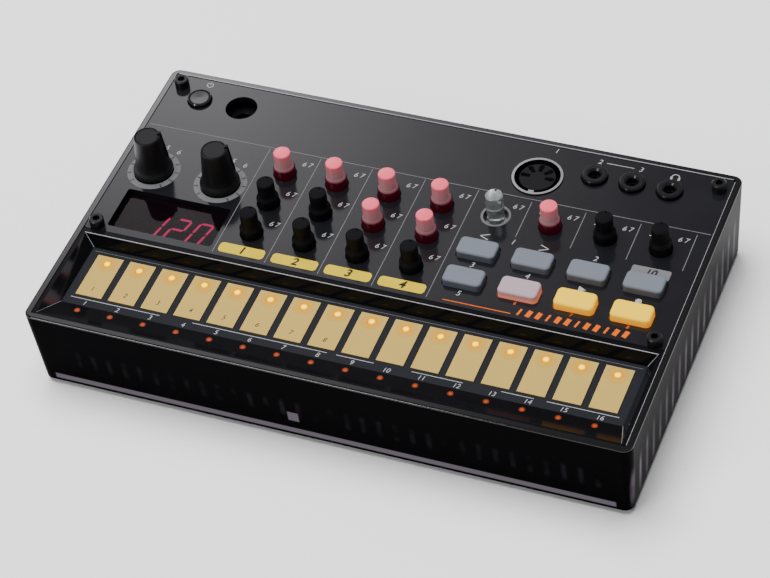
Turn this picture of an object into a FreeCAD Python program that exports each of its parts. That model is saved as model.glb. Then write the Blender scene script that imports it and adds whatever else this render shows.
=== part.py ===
import FreeCAD, Part
import math
import operator
import os
import Sketcher

# Compact sixteen-pad drum machine, in millimetres. The origin is under the middle of the case, on the
# surface that the rubber feet stand on. +X is the player's right, +Y the back and +Z up.

doc = FreeCAD.newDocument("drum_machine")
sheet = doc.addObject("Spreadsheet::Sheet", "Sizes")
sheet_rows = []
subparts = []


class Size:
    """A length that carries its number and the sheet formula that gives it."""

    def __init__(self, number, formula):
        self.number = float(number)
        self.formula = formula

    def __add__(self, other):
        return joined(self, "+", other)

    def __radd__(self, other):
        return joined(other, "+", self)

    def __sub__(self, other):
        return joined(self, "-", other)

    def __rsub__(self, other):
        return joined(other, "-", self)

    def __mul__(self, other):
        return joined(self, "*", other)

    def __rmul__(self, other):
        return joined(other, "*", self)

    def __truediv__(self, other):
        return joined(self, "/", other)

    def __neg__(self):
        return joined(0, "-", self)


ARITHMETIC = {"+": operator.add, "-": operator.sub, "*": operator.mul, "/": operator.truediv}


def as_size(value):
    return value if isinstance(value, Size) else Size(value, f"({value!r})")


def joined(left, sign, right):
    left, right = as_size(left), as_size(right)
    number = ARITHMETIC[sign](left.number, right.number)
    return Size(number, f"({left.formula} {sign} {right.formula})")


def size(name, value, meaning):
    """Writes one driving dimension into the sheet and returns it as a Size."""
    sheet_rows.append(name)
    row = len(sheet_rows)
    sheet.set(f"A{row}", meaning)
    sheet.set(f"B{row}", str(value))
    sheet.setAlias(f"B{row}", name)
    return Size(value, f"Sizes.{name}")


# Case
case_width = size("case_width", 193, "case, left to right at the rim")
case_depth = size("case_depth", 115, "case, front to back at the rim")
case_height = size("case_height", 28.7, "underside of the case to the rim")
foot_height = size("foot_height", 2, "rubber foot below the case")
side_draft = size("side_draft", 1.1, "lean of each side wall, inwards to the underside")
front_draft = size("front_draft", 1.5, "lean of the front and back walls")
corner_radius = size("corner_radius", 3, "upright corners of the case")
rim_edge_radius = size("rim_edge_radius", 0.6, "rounding along the top of the rim")
rim_width = size("rim_width", 2.1, "top of the rim, from outside to the panel seat")
wall = size("wall", 2.2, "case wall")
ledge_width = size("ledge_width", 1.4, "shelf inside the rim that carries the panel")
ledge_thickness = size("ledge_thickness", 1.5, "thickness of that shelf")
fit_gap = size("fit_gap", 0.2, "gap between pieces that drop into each other")
slide_gap = size("slide_gap", 0.3, "gap round a piece that moves")
turn_gap = size("turn_gap", 0.06, "radial gap of a shaft that turns in its bushing")

# Top panel and the printed field's layout
panel_thickness = size("panel_thickness", 2, "top panel")
panel_drop = size("panel_drop", 0.2, "panel face below the rim")
socket_strip = size("socket_strip", 26.4, "back strip with the sockets, rim to dividing line")
touch_strip = size("touch_strip", 40.1, "front strip with the touch pads, rim to panel edge")
left_block = size("left_block", 45.6, "left block with large knobs and display, rim to column line")
right_margin = size("right_margin", 6.8, "last column line to the rim")
knob_margin = size("knob_margin", 9.6, "dividing line to the first row of knobs")
label_margin = size("label_margin", 11.7, "last row of knobs to the panel edge")
socket_row = size("socket_row", 11.9, "row of sockets from the back rim")
key_margin = size("key_margin", 10.6, "last row of keys to the panel edge")
key_pitch = size("key_pitch", 12.2, "row to row of keys")

# Fasteners
screw_inset_x = size("screw_inset_x", 6, "panel screw from the side of the case")
screw_inset_back = size("screw_inset_back", 7, "rear panel screw from the back")
screw_inset_front = size("screw_inset_front", 2, "front panel screw from the panel edge")
screw_head_radius = size("screw_head_radius", 2.3, "cap screw head")
screw_head_height = size("screw_head_height", 3, "cap screw head")
screw_radius = size("screw_radius", 1.25, "cap screw shank")
screw_length = size("screw_length", 6.5, "cap screw shank below its head")
hex_radius = size("hex_radius", 1.25, "hexagon socket, centre to corner")
hex_depth = size("hex_depth", 1.7, "hexagon socket")
spacer_radius = size("spacer_radius", 2, "threaded spacer under the panel")
post_x = size("post_x", 78, "screw post from the middle")
post_width = size("post_width", 7, "screw post inside the wall")
post_depth = size("post_depth", 7.5, "screw post, wall to its inner face")
cover_screw_radius = size("cover_screw_radius", 1.1, "shank of the bottom screws")
cover_screw_length = size("cover_screw_length", 8, "bottom screw inside its post")
cover_head_radius = size("cover_head_radius", 2.4, "head of the bottom screws")
cover_head_height = size("cover_head_height", 1.2, "head of the bottom screws")

# Small knobs, moulded in one piece with their shafts
knob_height = size("knob_height", 9.2, "small knob above the panel")
knob_radius = size("knob_radius", 2.75, "small knob's stem")
knob_collar_radius = size("knob_collar_radius", 3.5, "small knob's collar")
knob_collar_height = size("knob_collar_height", 2.8, "collar above the panel")
knob_cone_height = size("knob_cone_height", 1.2, "cone from collar to stem")
knob_edge = size("knob_edge", 0.3, "bevel round the knob's top")
shaft_radius = size("shaft_radius", 1.5, "small knob's shaft inside its pot")
shaft_depth = size("shaft_depth", 4.8, "shaft inside the pot")
clear_ring_radius = size("clear_ring_radius", 3.9, "hole round the clear knob")
dot_radius = size("dot_radius", 0.45, "position dot on the knob's top")
dot_depth = size("dot_depth", 0.3, "position dot")
pot_width = size("pot_width", 9.5, "small pot's body")
pot_height = size("pot_height", 6.6, "main board to the panel's underside")

# Large knobs
dial_inset = size("dial_inset", 13.25, "first large knob from the left of the case")
dial_pitch = size("dial_pitch", 23.05, "large knob to large knob")
dial_drop = size("dial_drop", 19.5, "large knobs in front of the dividing line")
dial_height = size("dial_height", 15.5, "large knob above the panel")
dial_lift = size("dial_lift", 0.4, "gap between large knob and panel")
dial_top_radius = size("dial_top_radius", 4.1, "large knob's grip at its top")
dial_grip_radius = size("dial_grip_radius", 5.2, "large knob's grip at its foot")
dial_skirt_radius = size("dial_skirt_radius", 6.35, "large knob's skirt")
dial_skirt_height = size("dial_skirt_height", 2.6, "large knob's skirt")
dial_shaft_radius = size("dial_shaft_radius", 3, "large pot's shaft")
dial_bore_depth = size("dial_bore_depth", 10, "shaft inside the large knob")
dial_pot_width = size("dial_pot_width", 11, "large pot's body")
pointer_width = size("pointer_width", 1.1, "pointer rib on the large knob")
pointer_rise = size("pointer_rise", 0.45, "pointer rib beyond the grip")
pointer_angle = size("pointer_angle", 32, "pointer rib at rest, degrees from +X")

# Keys and power button
key_width = size("key_width", 12.4, "rubber key")
key_depth = size("key_depth", 7, "rubber key")
key_height = size("key_height", 2.5, "rubber key above the panel")
key_corner = size("key_corner", 1.6, "rubber key's upright corners")
key_edge = size("key_edge", 0.8, "rubber key's top edge")
key_travel = size("key_travel", 1, "travel of a key")
flange_width = size("flange_width", 0.8, "flange that keeps a key or button under the panel")
flange_thickness = size("flange_thickness", 1, "that flange")
plunger_radius = size("plunger_radius", 2, "plunger under a key")
plunger_length = size("plunger_length", 1.5, "plunger under a key")
switch_width = size("switch_width", 6, "switch under a key")
switch_button_radius = size("switch_button_radius", 1.7, "button on that switch")
switch_button_height = size("switch_button_height", 0.5, "button on that switch")
power_x = size("power_x", 14.4, "power button from the left of the case")
power_radius = size("power_radius", 3.85, "power button")
power_height = size("power_height", 1.3, "power button above the panel")
power_travel = size("power_travel", 1.5, "travel of the power button")
power_switch_width = size("power_switch_width", 8, "power switch's body")

# Sockets
dc_x = size("dc_x", 29.1, "power inlet from the left of the case")
dc_hole_radius = size("dc_hole_radius", 5.2, "panel hole over the power inlet")
dc_width = size("dc_width", 9, "power inlet's body")
dc_depth = size("dc_depth", 12, "power inlet's body")
dc_recess = size("dc_recess", 3, "power inlet below the panel's underside")
dc_bore_radius = size("dc_bore_radius", 3, "bore of the power inlet")
dc_bore_depth = size("dc_bore_depth", 8, "bore of the power inlet")
dc_pin_radius = size("dc_pin_radius", 0.85, "centre pin of the power inlet")
din_x = size("din_x", 61.45, "round five-pin socket from the right of the case")
din_row = size("din_row", 16.65, "round five-pin socket from the back rim")
din_radius = size("din_radius", 8.05, "metal ring of the five-pin socket")
din_ring = size("din_ring", 0.8, "thickness of that ring")
din_core_radius = size("din_core_radius", 5.7, "insert of the five-pin socket")
din_pin_circle = size("din_pin_circle", 4.45, "radius that its pin holes lie on")
din_pin_radius = size("din_pin_radius", 0.85, "pin hole")
din_pin_depth = size("din_pin_depth", 9, "pin hole")
din_lift = size("din_lift", 0.5, "metal ring above the panel")
din_key_width = size("din_key_width", 1.8, "key inside the metal ring")
jack_x = size("jack_x", 44.4, "first small jack from the right of the case")
jack_pitch = size("jack_pitch", 12.05, "small jack to small jack")
jack_collar_radius = size("jack_collar_radius", 4.1, "small jack's collar")
jack_lift = size("jack_lift", 1.5, "small jack's collar above the panel")
jack_bore_radius = size("jack_bore_radius", 1.8, "bore for a 3.5 mm plug")
jack_bore_depth = size("jack_bore_depth", 14.2, "bore for a 3.5 mm plug")
jack_lead_in = size("jack_lead_in", 0.6, "bevel at the mouth of the bore")
jack_width = size("jack_width", 9, "small jack's body")
jack_depth = size("jack_depth", 10.5, "small jack's body")

# Display
window_inset = size("window_inset", 8.9, "display window from the left of the case")
window_width = size("window_width", 35.4, "display window")
window_margin = size("window_margin", 2.7, "display window to the panel edge")
window_depth = size("window_depth", 16.6, "display window, front to back")
window_corner = size("window_corner", 0.8, "display window's corners")
window_lap = size("window_lap", 0.8, "window pane behind the panel all round")
pane_thickness = size("pane_thickness", 1, "display pane")
digits_gap = size("digits_gap", 1, "pane to the face of the digits")
digits_width = size("digits_width", 30.5, "four-digit module")
digits_depth = size("digits_depth", 14, "four-digit module")

# Touch strip
pad_count = 16
touch_depth = size("touch_depth", 4.5, "touch plate below the panel face")
bezel_top_margin = size("bezel_top_margin", 1.8, "flat of the bezel behind the recess")
bezel_side_margin = size("bezel_side_margin", 1.3, "flat of the bezel beside the recess")
bezel_front_margin = size("bezel_front_margin", 0.6, "flat of the bezel in front of the recess")
bezel_back_slope = size("bezel_back_slope", 1.6, "run of the recess's back wall")
bezel_side_slope = size("bezel_side_slope", 2.9, "run of the recess's side walls")
bezel_front_slope = size("bezel_front_slope", 9.8, "run of the recess's front slope")
touch_plate_thickness = size("touch_plate_thickness", 1, "touch plate")
touch_plate_lap = size("touch_plate_lap", 1.5, "touch plate under the bezel")
pad_length = size("pad_length", 17, "touch pad")
pad_gap = size("pad_gap", 2.32, "gap between touch pads")
pad_inset = size("pad_inset", 2.8, "touch pads from the back of the plate")
pad_end = size("pad_end", 3, "first touch pad from the side of the plate")
pad_thickness = size("pad_thickness", 0.3, "touch pad")
pad_led_radius = size("pad_led_radius", 1.2, "lamp in a touch pad")
pad_led_inset = size("pad_led_inset", 3, "lamp from the back of its pad")
step_led_radius = size("step_led_radius", 1, "step lamp in the front slope")
step_led_run = size("step_led_run", 3.4, "step lamp from the foot of the slope")
lamp_gap = size("lamp_gap", 0.1, "gap round a lamp")
lamp_lift = size("lamp_lift", 0.1, "lamp above its surface")

# Boards, bay and speaker
base_thickness = size("base_thickness", 2.4, "bottom cover")
board_thickness = size("board_thickness", 1.6, "circuit boards")
board_gap = size("board_gap", 0.6, "board edge to the case ledge")
jack_board_depth = size("jack_board_depth", 12.5, "jack board below the panel's underside")
main_board_back = size("main_board_back", 26, "main board's back edge from the back of the case")
board_lap = size("board_lap", 4, "jack board under the main board")
connector_length = size("connector_length", 40, "connector between the boards")
boss_radius = size("boss_radius", 2.4, "boss under a board")
cell_radius = size("cell_radius", 7.2, "battery")
cell_length = size("cell_length", 50.5, "battery, with its nub")
cell_pitch = size("cell_pitch", 14.8, "battery to battery")
cell_nub_radius = size("cell_nub_radius", 2.7, "battery's nub")
cell_nub_length = size("cell_nub_length", 1, "battery's nub")
cell_count = 6
contact_space = size("contact_space", 3, "room for contacts at each end of the batteries")
contact_thickness = size("contact_thickness", 0.5, "contact plate")
spring_radius = size("spring_radius", 3, "contact spring")
bay_x = size("bay_x", 20, "battery bay left of the middle")
bay_front = size("bay_front", 11, "battery bay from the front of the case")
bay_wall = size("bay_wall", 1.4, "battery bay's walls and roof")
bay_clearance = size("bay_clearance", 0.4, "room above and below the batteries")
door_thickness = size("door_thickness", 1.4, "battery door")
door_lap = size("door_lap", 2, "battery door round the bay opening")
door_travel = size("door_travel", 5, "slide that frees the battery door")
tongue_length = size("tongue_length", 8, "tongue at the side of the door")
tongue_reach = size("tongue_reach", 1.4, "tongue beyond the door")
tongue_thickness = size("tongue_thickness", 0.7, "tongue at the side of the door")
tongue_place = size("tongue_place", 18, "tongue from the middle of the door")
grip_height = size("grip_height", 0.4, "grip ribs on the door")
speaker_x = size("speaker_x", 58, "speaker right of the middle")
speaker_y = size("speaker_y", 18, "speaker in front of the middle")
speaker_radius = size("speaker_radius", 20, "speaker's frame")
speaker_height = size("speaker_height", 8.4, "speaker's frame")
magnet_radius = size("magnet_radius", 9.5, "speaker's magnet")
magnet_height = size("magnet_height", 5, "speaker's magnet")
speaker_rib = size("speaker_rib", 1.2, "ring round the speaker")
grille_radius = size("grille_radius", 16, "sound slots reach this far")
grille_slot = size("grille_slot", 2, "sound slot")
foot_radius = size("foot_radius", 5, "rubber foot")
foot_x = size("foot_x", 84, "rubber foot from the middle")
foot_y = size("foot_y", 40, "rubber foot from the middle")
foot_bevel = size("foot_bevel", 0.5, "bevel of the rubber foot")

# Places that follow from the sizes
half_width = case_width / 2
half_depth = case_depth / 2
rim_z = foot_height + case_height
panel_top = rim_z - panel_drop
panel_under = panel_top - panel_thickness
ledge_under = panel_under - ledge_thickness
base_top = foot_height + base_thickness
seat_x = half_width - rim_width
seat_y = half_depth - rim_width
ledge_x = seat_x - ledge_width
ledge_y = seat_y - ledge_width
divider_y = half_depth - socket_strip
panel_front_y = touch_strip - half_depth
knob_row_pitch = (divider_y - panel_front_y - knob_margin - label_margin) / 2
column_pitch = (case_width - left_block - right_margin) / 8
jack_y = half_depth - socket_row
din_y = half_depth - din_row
main_top = panel_under - pot_height
main_under = main_top - board_thickness
jack_board_top = panel_under - jack_board_depth
jack_board_under = jack_board_top - board_thickness
touch_z = panel_top - touch_depth
touch_board_top = touch_z - touch_plate_thickness
touch_board_under = touch_board_top - board_thickness
board_x = ledge_x - board_gap
power_place_x = power_x - half_width
dc_place_x = dc_x - half_width
din_place_x = half_width - din_x
screw_x = half_width - screw_inset_x
screw_back_y = half_depth - screw_inset_back
screw_front_y = panel_front_y + screw_inset_front
post_outer_y = half_depth - wall
post_inner_y = post_outer_y - post_depth
post_screw_y = post_inner_y + post_depth / 3
dial_y = divider_y - dial_drop
bezel_x = seat_x - fit_gap
bezel_front = fit_gap - seat_y
bezel_back = panel_front_y - fit_gap
bezel_inner_x1 = bezel_x - bezel_side_margin - bezel_side_slope
bezel_inner_x0 = -bezel_inner_x1
recess_top_front = bezel_front + bezel_front_margin
recess_top_back = bezel_back - bezel_top_margin
recess_low_front = recess_top_front + bezel_front_slope
recess_low_back = recess_top_back - bezel_back_slope
pad_back_y = recess_low_back - pad_inset
pad_led_y = pad_back_y - pad_led_inset
step_led_y = recess_low_front - step_led_run
step_led_top = touch_z + touch_depth * step_led_run / bezel_front_slope + lamp_lift
bay_width = cell_pitch * cell_count + fit_gap * 2
bay_y0 = bay_front - half_depth
bay_y1 = bay_y0 + cell_length + contact_space * 2
bay_x0 = -bay_x - bay_width / 2
bay_x1 = bay_width / 2 - bay_x
cell_z = foot_height + door_thickness + bay_clearance + cell_radius
bay_roof = cell_z + cell_radius + bay_clearance
door_y0 = bay_y0 - door_lap
door_y1 = bay_y1 + door_lap
MIRRORED = [(sx, sy) for sx in (-1, 1) for sy in (-1, 1)]
panel_screw_places = [(sx * screw_x, y) for sx in (-1, 1) for y in (screw_back_y, screw_front_y)]


def column_x(column):
    """Middle of one of the eight columns, counted from the left."""
    return left_block - half_width + column_pitch * (column + 0.5)


def row_y(row):
    """Middle of one of the three rows of small knobs, counted from the back."""
    return divider_y - knob_margin - knob_row_pitch * row


def key_y(row):
    """Middle of one of the two rows of keys, counted from the back."""
    return panel_front_y + key_margin + key_pitch * (1 - row)


def dial_x(number):
    """Middle of a large knob, counted from the left."""
    return dial_inset - half_width + dial_pitch * number


def bind(thing, **values):
    """Ties properties of an object to sheet formulas."""
    for field, value in values.items():
        thing.setExpression(field.replace("_in_", "."), as_size(value).formula)


def new_body(name, x=0, y=0, z=0):
    """An empty sub-part whose own origin lies at x, y, z."""
    body = doc.addObject("PartDesign::Body", name)
    body.Label = name
    body.AllowCompound = True
    for axis, place in (("x", x), ("y", y), ("z", z)):
        body.setExpression(f"Placement.Base.{axis}", as_size(place).formula)
    subparts.append(body)
    return body


def blank_sketch(body, role, offset):
    """A sketch on one of the body's own origin planes, moved along that plane's normal."""
    drawing = body.newObject("Sketcher::SketchObject", "Sketch")
    planes = [plane for plane in body.Origin.OriginFeatures if plane.Role == role]
    drawing.AttachmentSupport = [(planes[0], "")]
    drawing.MapMode = "FlatFace"
    drawing.setExpression("AttachmentOffset.Base.z", as_size(offset).formula)
    return drawing


def hold_point(drawing, geometry, point, place):
    """Ties one point of the sketch to the origin by two named distances."""
    for axis, amount in zip("XY", place):
        amount = as_size(amount)
        rule = Sketcher.Constraint(f"Distance{axis}", -1, 1, geometry, point, amount.number)
        name = f"g{geometry}p{point}{axis}"
        drawing.renameConstraint(drawing.addConstraint(rule), name)
        drawing.setExpression(f"Constraints.{name}", amount.formula)


def draw_outline(drawing, corners):
    """A closed outline of straight lines."""
    first = drawing.GeometryCount
    count = len(corners)
    points = [FreeCAD.Vector(as_size(x).number, as_size(y).number, 0) for x, y in corners]
    for index in range(count):
        drawing.addGeometry(Part.LineSegment(points[index], points[(index + 1) % count]), False)
    for index in range(count):
        follower = first + (index + 1) % count
        drawing.addConstraint(Sketcher.Constraint("Coincident", first + index, 2, follower, 1))
        hold_point(drawing, first + index, 1, corners[index])


def draw_circle(drawing, x, y, radius):
    radius = as_size(radius)
    centre = FreeCAD.Vector(as_size(x).number, as_size(y).number, 0)
    circle = Part.Circle(centre, FreeCAD.Vector(0, 0, 1), radius.number)
    geometry = drawing.addGeometry(circle, False)
    hold_point(drawing, geometry, 3, (x, y))
    rule = Sketcher.Constraint("Radius", geometry, radius.number)
    name = f"g{geometry}radius"
    drawing.renameConstraint(drawing.addConstraint(rule), name)
    drawing.setExpression(f"Constraints.{name}", radius.formula)


def rectangle(x0, y0, x1, y1):
    return [(x0, y0), (x1, y0), (x1, y1), (x0, y1)]


def around(x, y, width, depth):
    """A rectangle round a middle point."""
    return rectangle(x - width / 2, y - depth / 2, x + width / 2, y + depth / 2)


def sketch_shapes(body, shapes, role, offset):
    """A sketch that holds outlines, as lists of corners, and circles, as (x, y, radius)."""
    drawing = blank_sketch(body, role, offset)
    for shape in shapes:
        if isinstance(shape, tuple):
            draw_circle(drawing, *shape)
        else:
            draw_outline(drawing, shape)
    return drawing


def raise_on(body, shapes, low, high, role="XY_Plane"):
    """Adds upright walls on the shapes, from low to high along the plane's normal."""
    drawing = sketch_shapes(body, shapes, role, low)
    feature = body.newObject("PartDesign::Pad", "Pad")
    feature.Profile = drawing
    bind(feature, Length=as_size(high) - low)
    return feature


def sink_in(body, shapes, low, high, role="XY_Plane"):
    """Cuts the shapes out, from high down to low along the plane's normal."""
    doc.recompute()
    before = body.Shape.Volume
    drawing = sketch_shapes(body, shapes, role, high)
    feature = body.newObject("PartDesign::Pocket", "Pocket")
    feature.Profile = drawing
    bind(feature, Length=as_size(high) - low)
    doc.recompute()
    if body.Shape.Volume >= before:
        raise RuntimeError(f"a pocket of {body.Label} cuts nothing")
    return feature


def turn(body, outline):
    """Turns an outline of (radius, height) corners round the body's own upright axis."""
    drawing = sketch_shapes(body, [outline], "XZ_Plane", 0)
    feature = body.newObject("PartDesign::Revolution", "Revolution")
    feature.Profile = drawing
    feature.ReferenceAxis = (drawing, ["V_Axis"])
    feature.Angle = 360
    return feature


def loft(body, kind, low_shape, low, high_shape, high):
    """A tapered block between two outlines with equal numbers of corners."""
    feature_type = f"PartDesign::{kind}Loft"
    lower = sketch_shapes(body, [low_shape], "XY_Plane", low)
    upper = sketch_shapes(body, [high_shape], "XY_Plane", high)
    feature = body.newObject(feature_type, kind)
    feature.Profile = lower
    feature.Sections = [upper]
    feature.Ruled = True
    return feature


def soften(body, kind, amount, wanted):
    """Rounds or bevels the edges of the body that the test picks out."""
    doc.recompute()
    base = body.Tip
    names = [f"Edge{n}" for n, edge in enumerate(base.Shape.Edges, 1) if wanted(edge)]
    if not names:
        raise RuntimeError(f"no edge of {body.Label} to soften")
    feature = body.newObject(f"PartDesign::{kind}", kind)
    feature.Base = (base, names)
    bind(feature, **{"Radius" if kind == "Fillet" else "Size": amount})
    return feature


def lean_faces(body, amount, axis):
    """Leans the two faces across one axis inwards towards the underside of the case."""
    doc.recompute()
    base = body.Tip
    numbered = [(f"Face{n}", face) for n, face in enumerate(base.Shape.Faces, 1)]
    sides = [name for name, face in numbered if abs(face.normalAt(0, 0)[axis]) > 0.9]
    tops = [name for name, face in numbered if face.normalAt(0, 0).z > 0.9]
    feature = body.newObject("PartDesign::Draft", "Draft")
    feature.Base = (base, sides)
    feature.NeutralPlane = (base, tops)
    angle = math.degrees(math.atan(amount.number / case_height.number))
    bind(feature, Angle=Size(angle, f"atan({amount.formula} / {case_height.formula})"))
    doc.recompute()
    if body.Shape.Volume > base.Shape.Volume:
        feature.Reversed = True


def is_upright(edge):
    """Straight and closer to upright than to level."""
    box = edge.BoundBox
    is_straight = abs(box.DiagonalLength - edge.Length) < 1e-3
    return is_straight and box.ZLength > (box.XLength + box.YLength)


def is_level_at(height):
    """A test for edges that lie level at one height, close to the number given."""
    return lambda edge: edge.BoundBox.ZLength < 1e-4 and abs(edge.BoundBox.ZMin - height) < 1e-3


def plate(name, x0, y0, x1, y1, low, high):
    """A flat rectangular sub-part."""
    body = new_body(name)
    raise_on(body, [rectangle(x0, y0, x1, y1)], low, high)
    return body


def make_case_shell():
    """One moulding: four leaning walls, the rim, the shelf for the panel and four screw posts."""
    body = new_body("case_shell")
    low_x, low_y = half_width - side_draft, half_depth - front_draft
    raise_on(body, [rectangle(-half_width, -half_depth, half_width, half_depth)], foot_height, rim_z)
    for amount, axis in ((side_draft, 0), (front_draft, 1)):
        lean_faces(body, amount, axis)
    soften(body, "Fillet", corner_radius, is_upright)
    soften(body, "Fillet", rim_edge_radius, is_level_at(rim_z.number))
    share = ledge_thickness + rim_z - panel_under
    lean_x, lean_y = side_draft * share / case_height, front_draft * share / case_height
    in_x, in_y = low_x - wall, low_y - wall
    top_x, top_y = half_width - lean_x - wall, half_depth - lean_y - wall
    low_inside = rectangle(-in_x, -in_y, in_x, in_y)
    top_inside = rectangle(-top_x, -top_y, top_x, top_y)
    loft(body, "Subtractive", low_inside, foot_height, top_inside, ledge_under)
    sink_in(body, [rectangle(-ledge_x, -ledge_y, ledge_x, ledge_y)], ledge_under, panel_under)
    sink_in(body, [rectangle(-seat_x, -seat_y, seat_x, seat_y)], panel_under, rim_z)
    for sy, post_top in ((-1, touch_board_under), (1, jack_board_under)):
        post_y = sy * (post_inner_y + post_outer_y) / 2
        posts = [around(sx * post_x, post_y, post_width, post_depth) for sx in (-1, 1)]
        raise_on(body, posts, base_top, post_top)
    pilot = cover_screw_radius + turn_gap
    holes = [(sx * post_x, sy * post_screw_y, pilot) for sx, sy in MIRRORED]
    sink_in(body, holes, base_top, base_top + cover_screw_length + fit_gap)


def make_top_panel():
    """Flat panel with every knob, key, socket, screw and window opening."""
    side, back = seat_x - fit_gap, seat_y - fit_gap
    body = plate("top_panel", -side, panel_front_y, side, back, panel_under, panel_top)
    window_x0 = window_inset - half_width
    window_y0 = panel_front_y + window_margin
    openings = [rectangle(window_x0, window_y0, window_x0 + window_width, window_y0 + window_depth)]
    sink_in(body, openings, panel_under, panel_top)
    soften(body, "Fillet", window_corner, is_upright)
    key_space = slide_gap * 2
    keys = [
        around(column_x(4 + column), key_y(row), key_width + key_space, key_depth + key_space)
        for row in (0, 1)
        for column in range(4)
    ]
    sink_in(body, keys, panel_under, panel_top)
    first_key = (column_x(4) - key_width).number
    last_key = (column_x(7) + key_width).number
    soften(
        body,
        "Fillet",
        key_corner,
        lambda edge: is_upright(edge) and first_key < edge.BoundBox.XMin < last_key,
    )
    collar_hole = knob_collar_radius + slide_gap
    rounds = [(column_x(column), row_y(row), collar_hole) for row in range(3) for column in range(4)]
    rounds += [(column_x(4), row_y(0), clear_ring_radius)]
    rounds += [(column_x(column), row_y(0), collar_hole) for column in (5, 6, 7)]
    rounds += [(dial_x(number), dial_y, dial_shaft_radius + slide_gap) for number in (0, 1)]
    rounds += [(power_place_x, jack_y, power_radius + slide_gap)]
    rounds += [(dc_place_x, jack_y, dc_hole_radius)]
    rounds += [(din_place_x, din_y, din_radius + fit_gap)]
    rounds += [(half_width - jack_x + jack_pitch * n, jack_y, jack_collar_radius + fit_gap) for n in range(3)]
    rounds += [(x, y, screw_radius + fit_gap) for x, y in panel_screw_places]
    sink_in(body, rounds, panel_under, panel_top)


def pad_places():
    """Left and right edge of each touch pad."""
    left = bezel_inner_x0 + pad_end
    width = (bezel_inner_x1 - bezel_inner_x0 - pad_end * 2 - pad_gap * (pad_count - 1)) / pad_count
    return [(left + (width + pad_gap) * n, left + (width + pad_gap) * n + width) for n in range(pad_count)]


def pad_middles():
    return [(left + right) / 2 for left, right in pad_places()]


def make_touch_bezel():
    """Glossy frame with sloping inner walls that drops the touch plate below the panel."""
    flange = rectangle(-bezel_x, bezel_front, bezel_x, bezel_back)
    tub_x, tub_front = ledge_x - fit_gap, fit_gap - ledge_y
    body = new_body("touch_bezel")
    raise_on(body, [rectangle(-tub_x, tub_front, tub_x, bezel_back)], touch_z, panel_under)
    raise_on(body, [flange], panel_under, panel_top)
    top_x = bezel_x - bezel_side_margin
    low_outline = rectangle(bezel_inner_x0, recess_low_front, bezel_inner_x1, recess_low_back)
    top_outline = rectangle(-top_x, recess_top_front, top_x, recess_top_back)
    doc.recompute()
    loft(body, "Subtractive", low_outline, touch_z, top_outline, panel_top)
    holes = [(x, step_led_y, step_led_radius + lamp_gap) for x in pad_middles()]
    sink_in(body, holes, touch_z, panel_under)


def make_touch_plate():
    """Flat plate under the bezel, with a hole for every lamp."""
    body = plate(
        "touch_plate",
        bezel_inner_x0 - touch_plate_lap,
        step_led_y - touch_plate_lap,
        bezel_inner_x1 + touch_plate_lap,
        recess_low_back + touch_plate_lap,
        touch_board_top,
        touch_z,
    )
    holes = [(x, pad_led_y, pad_led_radius + lamp_gap) for x in pad_middles()]
    holes += [(x, step_led_y, step_led_radius + lamp_gap) for x in pad_middles()]
    sink_in(body, holes, touch_board_top, touch_z)


def make_touch_pads():
    body = new_body("touch_pads")
    pads = [rectangle(left, pad_back_y - pad_length, right, pad_back_y) for left, right in pad_places()]
    raise_on(body, pads, touch_z, touch_z + pad_thickness)
    holes = [(x, pad_led_y, pad_led_radius + lamp_gap) for x in pad_middles()]
    sink_in(body, holes, touch_z, touch_z + pad_thickness)


def make_lamps(name, y, radius, top):
    """A row of sixteen lamps on the touch board."""
    body = new_body(name)
    raise_on(body, [(x, y, radius) for x in pad_middles()], touch_board_top, top)


def make_small_knob(name, column, row, has_collar=True):
    """A knob and its shaft, moulded in one piece, with a position dot at the back of its top."""
    body = new_body(name, column_x(column), row_y(row), panel_top)
    foot = fit_gap - panel_thickness
    stem_top = knob_height - knob_edge
    outline = [
        (0, -panel_thickness - shaft_depth),
        (shaft_radius, -panel_thickness - shaft_depth),
        (shaft_radius, foot),
    ]
    if has_collar:
        outline += [
            (knob_collar_radius, foot),
            (knob_collar_radius, knob_collar_height),
            (knob_radius, knob_collar_height + knob_cone_height),
        ]
    else:
        outline += [(knob_radius, foot)]
    outline += [(knob_radius, stem_top), (knob_radius - knob_edge, knob_height), (0, knob_height)]
    turn(body, outline)
    dot = (0, knob_radius - knob_edge - dot_radius * 2, dot_radius)
    sink_in(body, [dot], knob_height - dot_depth, knob_height)


def make_dial(name, number):
    """Large tapered knob with a skirt and a pointer rib; it is bored for its shaft."""
    body = new_body(name, dial_x(number), dial_y, panel_top)
    bind(body, Placement_in_Rotation_in_Angle=pointer_angle)
    bore = dial_shaft_radius + turn_gap
    shoulder = dial_lift + dial_skirt_height
    turn(body, [
        (bore, dial_lift),
        (dial_skirt_radius - knob_edge, dial_lift),
        (dial_skirt_radius, dial_lift + knob_edge),
        (dial_skirt_radius - knob_edge / 2, dial_lift + dial_skirt_height / 2),
        (dial_grip_radius + knob_edge, shoulder),
        (dial_grip_radius, shoulder + dial_skirt_height / 2),
        (dial_top_radius, dial_height - knob_edge * 2),
        (dial_top_radius - knob_edge, dial_height - knob_edge),
        (0, dial_height - knob_edge),
        (0, dial_lift + dial_bore_depth),
        (bore, dial_lift + dial_bore_depth),
    ])
    rib_foot = shoulder + dial_skirt_height
    rib = [
        (dial_top_radius - pointer_width, rib_foot),
        (dial_grip_radius + pointer_rise / 2, rib_foot),
        (dial_top_radius + pointer_rise, dial_height),
        (dial_top_radius - pointer_width, dial_height),
    ]
    drawing = sketch_shapes(body, [rib], "XZ_Plane", 0)
    feature = body.newObject("PartDesign::Pad", "Pointer")
    feature.Profile = drawing
    feature.SideType = "Symmetric"
    bind(feature, Length=pointer_width)


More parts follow.
